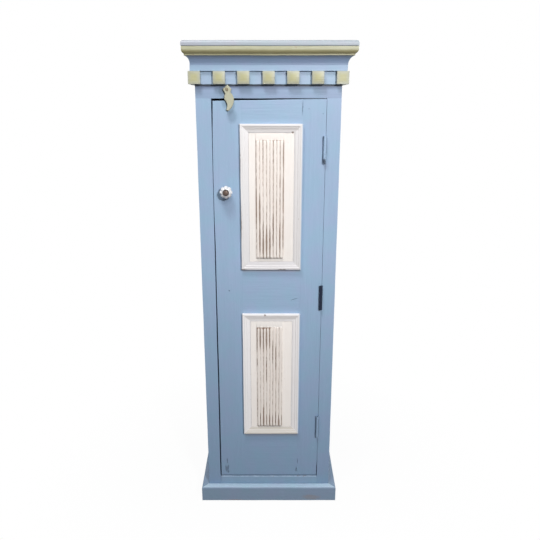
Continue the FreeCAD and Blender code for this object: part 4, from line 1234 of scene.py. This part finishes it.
def worn_door(spot):
    """The old door's edges: the top drops to the left, the left one leans and both sides are swollen."""
    if spot.z > DOOR_TOP - NEAR:
        spot.z += TOP_RISE * (spot.x - DOOR_LEFT) / (DOOR_RIGHT - DOOR_LEFT) - TOP_DROP
    if spot.x < DOOR_LEFT + NEAR:
        swell = ramp(-spot.z, *SWELL_DOWN) * ramp(spot.z, *SWELL_UP)
        spot.x += lean(spot.z) - SWELLING * swell + CORNER_RUB * ramp(spot.z, *CORNER_UP)
    if spot.x > DOOR_RIGHT - NEAR:
        spot.x += RIGHT_SWELL * ramp(spot.z, *RIGHT_UP) - FOOT_RUB


class CUPBOARD_OT_door_frame(bpy.types.Operator):
    """Stiles and rails of the door"""

    bl_idname = "cupboard.door_frame"
    bl_label = "Door frame"

    def execute(self, context):
        for node in ("door_stile_left", "door_stile_right"):
            board(node, "blue_door_upright", "blue_edge", Z, joints=DOOR_JOINTS, reshape=worn_door)
        for node in ("door_top_rail", "door_lock_rail", "door_bottom_rail"):
            board(node, "blue_door_crosswise", "blue_edge", X, joints=DOOR_JOINTS, reshape=worn_door)
        return {"FINISHED"}


class CUPBOARD_OT_panels(bpy.types.Operator):
    """White panels and the mouldings round them"""

    bl_idname = "cupboard.panels"
    bl_label = "Panels and mouldings"

    def execute(self, context):
        for level in ("upper", "lower"):
            board(level + "_panel", "white_panel", "white_edge", Z, bare=("blue_inside", (0, 1, 0)))
            for side, way, axis in (("top", "crosswise", X), ("bottom", "foot_" + level, X),
                                    ("left", "upright", Z), ("right", "upright", Z)):
                board(f"{level}_moulding_{side}", "white_" + way, "white_edge", axis, sizes().trim_edge)
        return {"FINISHED"}


# How finely a reed is cut across and along, and how high it still stands where it runs out.
REED_SIDES, REED_LEVELS = 12, 60
REED_LEAST = 0.00005
# How thin a tablet's board is at its head, how deep a reed is let into it, and where a reed starts.
TABLET_THIN = 0.0003
REED_SUNK, REED_FOOT = 0.0002, 0.0003


def reed_copy(width, rise, length, run_out):
    """One flat-topped reed from its foot at z 0, sloping off to nothing over its run-out."""
    mesh = bmesh.new()
    rings = []
    for level in range(REED_LEVELS + 1):
        z = length * level / REED_LEVELS
        height = rise * min(1.0, (length - z) / run_out) + REED_LEAST
        ring = []
        for step in range(REED_SIDES + 1):
            share = -math.cos(math.pi * step / REED_SIDES)
            ring.append(mesh.verts.new((width / 2 * share, -height * math.sqrt(1 - share ** 4), z)))
        rings.append(ring)
    for low, high in zip(rings, rings[1:]):
        for step in range(REED_SIDES):
            mesh.faces.new((low[step], low[step + 1], high[step + 1], high[step]))
        mesh.faces.new((low[0], high[0], high[-1], low[-1]))
    for ring in (rings[0], rings[-1]):
        mesh.faces.new(ring)
    bmesh.ops.recalc_face_normals(mesh, faces=mesh.faces[:])
    return mesh


class CUPBOARD_OT_tablets(bpy.types.Operator):
    """Reeded tablets on the panels"""

    bl_idname = "cupboard.tablets"
    bl_label = "Reeded tablets"

    def execute(self, context):
        spacing = sizes().reed_spacing
        for level, seed in (("upper", 4), ("lower", 9)):
            paint = finish("white_reeds_" + level)
            node = level + "_tablet"
            low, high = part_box(node)
            mesh = block((low.x, REED_BASE_Y, low.z), (high.x, FIELD_Y, high.z))
            bmesh.ops.bisect_plane(mesh, geom=mesh.verts[:] + mesh.edges[:] + mesh.faces[:],
                                   plane_co=(0, 0, high.z - SLOPE), plane_no=(0, 0, 1))
            for vert in mesh.verts:
                if vert.co.z > high.z - SLOPE / 2:
                    vert.co.y = max(vert.co.y, FIELD_Y - TABLET_THIN)
            cut_across(mesh, Z, sizes().cut_step)
            softened(node + "_board", mesh, [paint, paint], [node], sizes().joint_line)
            count, first = reed_count(level)
            reed = reed_copy(spacing - sizes().reed_gap, REED_BASE_Y - REED_CREST_Y,
                             high.z - SLOPE - low.z, RUN_OUT - SLOPE)
            copy = raw_piece("reed_copy", reed, [])
            reeds = row_of(node + "_reeds", copy, {
                "Count": count, "Start": (first + spacing / 2, REED_BASE_Y + REED_SUNK, low.z + REED_FOOT),
                "Step": (spacing, 0.0, 0.0), "Shift": (0.0003, 0.0, 0.0), "Waver": 0.0014,
                "Waver Size": 0.03, "Seed": seed, "Material": paint})
            bpy.data.objects.remove(copy)
            stand_in(reeds, node)
        return {"FINISHED"}


def dressed(node, paint, radius):
    """A softened copy of one CAD node in one finish."""
    softened(node + "_dressed", cad_copy(node), [finish(paint)] * 2, [node], radius)


class CUPBOARD_OT_knob(bpy.types.Operator):
    """Ceramic melon knob with its cap, collar, bolt and nut"""

    bl_idname = "cupboard.knob"
    bl_label = "Knob"

    def execute(self, context):
        low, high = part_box("knob_ceramic")
        middle = (low + high) / 2
        centre = (middle.x, middle.z)
        radius = (high.x - low.x) / 2
        back, front = high.y, low.y
        profile = [(0, back)]
        for step in range(KNOB_RINGS + 1):
            angle = math.radians(KNOB_START + KNOB_SWEEP * step / KNOB_RINGS)
            bulge = math.sin(angle) ** KNOB_FULLNESS
            reach = math.cos(angle) / math.cos(math.radians(KNOB_START))
            profile.append((radius * bulge, (back + front) / 2 + (back - front) / 2 * reach))
        profile.append((0, profile[-1][1]))
        melon = turned(profile, centre, KNOB_SIDES, KNOB_LOBES, KNOB_LOBE_DEPTH)
        piece = raw_piece("knob_ceramic_glazed", melon, [finish("glaze")])
        stand_in(piece, "knob_ceramic")
        for node in ("knob_collar", "knob_nut", "knob_bolt"):
            dressed(node, "old_bronze", sizes().iron_edge / 2)
        return {"FINISHED"}


# The turn button's leaf is fuller between these heights, most on the left of its middle.
LEAF_DOWN, LEAF_UP = (-1.372, -1.358), (1.334, 1.344)
LEAF_MIDDLE = -0.108
LEAF_LEFT, LEAF_RIGHT = 0.0032, 0.0016
LEAF_EDGE = 0.0016


class CUPBOARD_OT_turn_button(bpy.types.Operator):
    """Scrolled turn button above the door, and its screw"""

    bl_idname = "cupboard.turn_button"
    bl_label = "Turn button"

    def execute(self, context):
        mesh = cad_copy("turn_button")
        for vert in mesh.verts:
            fuller = ramp(-vert.co.z, *LEAF_DOWN) * ramp(vert.co.z, *LEAF_UP)
            vert.co.x -= fuller * (LEAF_LEFT if vert.co.x < LEAF_MIDDLE else LEAF_RIGHT)
        olive = finish("olive_button")
        softened("turn_button_painted", mesh, [olive, olive], ["turn_button"], LEAF_EDGE, segments=3)
        softened("turn_button_screw_rusty", cad_copy("turn_button_screw"), [finish("rusty_screw")] * 2,
                 ["turn_button_screw"], sizes().iron_edge / 2)
        return {"FINISHED"}


SCREW_EDGE = 0.0001


class CUPBOARD_OT_hinges(bpy.types.Operator):
    """Butt hinges: leaves, pins and screws"""

    bl_idname = "cupboard.hinges"
    bl_label = "Hinges"

    def execute(self, context):
        for level, paint in (("upper", "blue_hinge"), ("middle", "old_iron"), ("lower", "blue_hinge")):
            for side in ("frame", "door"):
                dressed(f"{level}_hinge_{side}_leaf", paint, sizes().iron_edge)
        dressed("hinge_pins", "old_iron", sizes().iron_edge / 2)
        for node in ("frame_leaf_screws", "door_leaf_screws"):
            dressed(node, "old_steel", SCREW_EDGE)
        return {"FINISHED"}


# Where the lamps stand, what they aim at and how large they are.
FRONT_SPOT, TOP_SPOT = (0.95, -2.6, 2.2), (-0.35, -0.95, 2.7)
SIDE_SPOTS = ((-2.2, 0.2, 1.8), (2.2, 0.2, 1.8), (0.0, 2.6, 1.8))
FRONT_TARGET, SIDE_TARGET = (0.0, -0.15, 0.6), (0.0, 0.05, 0.8)
FRONT_SIZE, TOP_SIZE, SIDE_SIZE = (0.35, 0.35), (0.5, 0.4), (0.8, 0.8)
SENSOR_WIDTH = 36.0
# The floor: half its width, its two greys, and where it fades into the white room and by how much.
FLOOR_HALF = 4.0
FLOOR_GREY, FLOOR_PALE = 0.2, 0.9
FADE_FROM, FADE_TO, FADE_LEAST = 0.35, 0.9, 0.95


def area_lamp(name, spot, target, size, power):
    """A soft lamp that lights but isn't seen."""
    data = bpy.data.lights.new(name, "AREA")
    data.shape = "RECTANGLE"
    data.size, data.size_y = size
    data.energy = power
    lamp = bpy.data.objects.new(name, data)
    lamp.location = spot
    lamp.rotation_euler = (Vector(target) - Vector(spot)).to_track_quat("-Z", "Y").to_euler()
    lamp.visible_camera = False
    bpy.context.scene.collection.objects.link(lamp)


def seen_plainly(tree):
    """1 for rays that come straight from the camera, a mirror or glass."""
    path = tree.nodes.new("ShaderNodeLightPath")
    total = path.outputs["Is Camera Ray"]
    for name in ("Is Glossy Ray", "Is Transmission Ray"):
        both = tree.nodes.new("ShaderNodeMath")
        both.operation = "MAXIMUM"
        tree.links.new(total, both.inputs[0])
        tree.links.new(path.outputs[name], both.inputs[1])
        total = both.outputs[0]
    return total


class CUPBOARD_OT_stage(bpy.types.Operator):
    """Floor, room light, lamps and camera"""

    bl_idname = "cupboard.stage"
    bl_label = "Stage"

    def execute(self, context):
        scene = context.scene
        stage = scene.cupboard_stage
        scene.view_settings.view_transform = "Standard"
        self.add_room(scene, stage)
        self.add_floor()
        area_lamp("front_lamp", FRONT_SPOT, FRONT_TARGET, FRONT_SIZE, stage.front_power)
        area_lamp("top_lamp", TOP_SPOT, FRONT_TARGET, TOP_SIZE, stage.top_power)
        for spot in SIDE_SPOTS:
            area_lamp("side_lamp", spot, SIDE_TARGET, SIDE_SIZE, stage.side_power)
        camera = bpy.data.objects.new("camera", bpy.data.cameras.new("camera"))
        camera.data.lens = stage.lens
        camera.data.sensor_width = SENSOR_WIDTH
        camera.data.sensor_fit = "HORIZONTAL"
        camera.location = stage.camera_spot
        camera.rotation_euler = (math.pi / 2 - stage.tilt, 0.0, 0.0)
        scene.collection.objects.link(camera)
        scene.camera = camera
        return {"FINISHED"}

    def add_room(self, scene, stage):
        """A soft room that shows as plain white."""
        world = bpy.data.worlds.new("room")
        world.use_nodes = True
        scene.world = world
        tree = world.node_tree
        soft = tree.nodes["Background"]
        soft.inputs["Color"].default_value = (0.96, 0.98, 1.0, 1.0)
        soft.inputs["Strength"].default_value = stage.room_light
        plain = tree.nodes.new("ShaderNodeBackground")
        plain.inputs["Color"].default_value = (1.0, 1.0, 1.0, 1.0)
        mix = tree.nodes.new("ShaderNodeMixShader")
        tree.links.new(seen_plainly(tree), mix.inputs[0])
        tree.links.new(soft.outputs[0], mix.inputs[1])
        tree.links.new(plain.outputs[0], mix.inputs[2])
        tree.links.new(mix.outputs[0], tree.nodes["World Output"].inputs["Surface"])

    def add_floor(self):
        """A pale floor that keeps a faint shadow under the cupboard."""
        mesh = bmesh.new()
        bmesh.ops.create_grid(mesh, x_segments=1, y_segments=1, size=FLOOR_HALF)
        material = bpy.data.materials.new("floor")
        material.use_nodes = True
        tree = material.node_tree
        matt = tree.nodes["Principled BSDF"]
        matt.inputs["Roughness"].default_value = 0.9
        plain = seen_plainly(tree)
        tone = tree.nodes.new("ShaderNodeMapRange")
        tone.inputs[3].default_value, tone.inputs[4].default_value = FLOOR_GREY, FLOOR_PALE
        tree.links.new(plain, tone.inputs[0])
        tree.links.new(tone.outputs[0], matt.inputs["Base Color"])
        place = tree.nodes.new("ShaderNodeTexCoord")
        away = tree.nodes.new("ShaderNodeVectorMath")
        away.operation = "LENGTH"
        tree.links.new(place.outputs["Object"], away.inputs[0])
        fade = tree.nodes.new("ShaderNodeMapRange")
        for index, value in ((1, FADE_FROM), (2, FADE_TO), (3, FADE_LEAST), (4, 1.0)):
            fade.inputs[index].default_value = value
        tree.links.new(away.outputs["Value"], fade.inputs[0])
        white = tree.nodes.new("ShaderNodeEmission")
        white.inputs["Color"].default_value = (1.0, 1.0, 1.0, 1.0)
        share = tree.nodes.new("ShaderNodeMath")
        share.operation = "MULTIPLY"
        tree.links.new(plain, share.inputs[0])
        tree.links.new(fade.outputs[0], share.inputs[1])
        mix = tree.nodes.new("ShaderNodeMixShader")
        tree.links.new(share.outputs[0], mix.inputs[0])
        tree.links.new(matt.outputs[0], mix.inputs[1])
        tree.links.new(white.outputs[0], mix.inputs[2])
        tree.links.new(mix.outputs[0], tree.nodes["Material Output"].inputs["Surface"])
        floor = raw_piece("floor", mesh, [material])


STEPS = ("stage", "carcase", "face_frame", "plinth", "cornice", "dentils", "door_frame", "panels", "tablets",
         "knob", "turn_button", "hinges")


class CUPBOARD_PT_panel(bpy.types.Panel):
    """The cupboard's operators, sizes and colours"""

    bl_idname = "CUPBOARD_PT_panel"
    bl_label = "Cupboard"
    bl_space_type = "VIEW_3D"
    bl_region_type = "UI"
    bl_category = "Cupboard"

    def draw(self, context):
        for step in STEPS:
            self.layout.operator("cupboard." + step)
        for group in ("cupboard_sizes", "cupboard_colours", "cupboard_stage"):
            values = getattr(context.scene, group)
            for key in values.__annotations__:
                self.layout.prop(values, key)


CLASSES = (
    CupboardSizes, CupboardColours, CupboardStage, CUPBOARD_OT_stage, CUPBOARD_OT_carcase,
    CUPBOARD_OT_face_frame, CUPBOARD_OT_plinth, CUPBOARD_OT_cornice, CUPBOARD_OT_dentils,
    CUPBOARD_OT_door_frame, CUPBOARD_OT_panels, CUPBOARD_OT_tablets, CUPBOARD_OT_knob,
    CUPBOARD_OT_turn_button, CUPBOARD_OT_hinges, CUPBOARD_PT_panel,
)


def register():
    """Add the classes and the scene's properties."""
    for cls in CLASSES:
        bpy.utils.register_class(cls)
    bpy.types.Scene.cupboard_sizes = PointerProperty(type=CupboardSizes)
    bpy.types.Scene.cupboard_colours = PointerProperty(type=CupboardColours)
    bpy.types.Scene.cupboard_stage = PointerProperty(type=CupboardStage)


def unregister():
    """Take the properties and classes away again."""
    del bpy.types.Scene.cupboard_stage
    del bpy.types.Scene.cupboard_colours
    del bpy.types.Scene.cupboard_sizes
    for cls in reversed(CLASSES):
        bpy.utils.unregister_class(cls)


def main():
    """Build every piece in order."""
    register()
    for step in STEPS:
        getattr(bpy.ops.cupboard, step)()


if __name__ == "__main__":
    main()
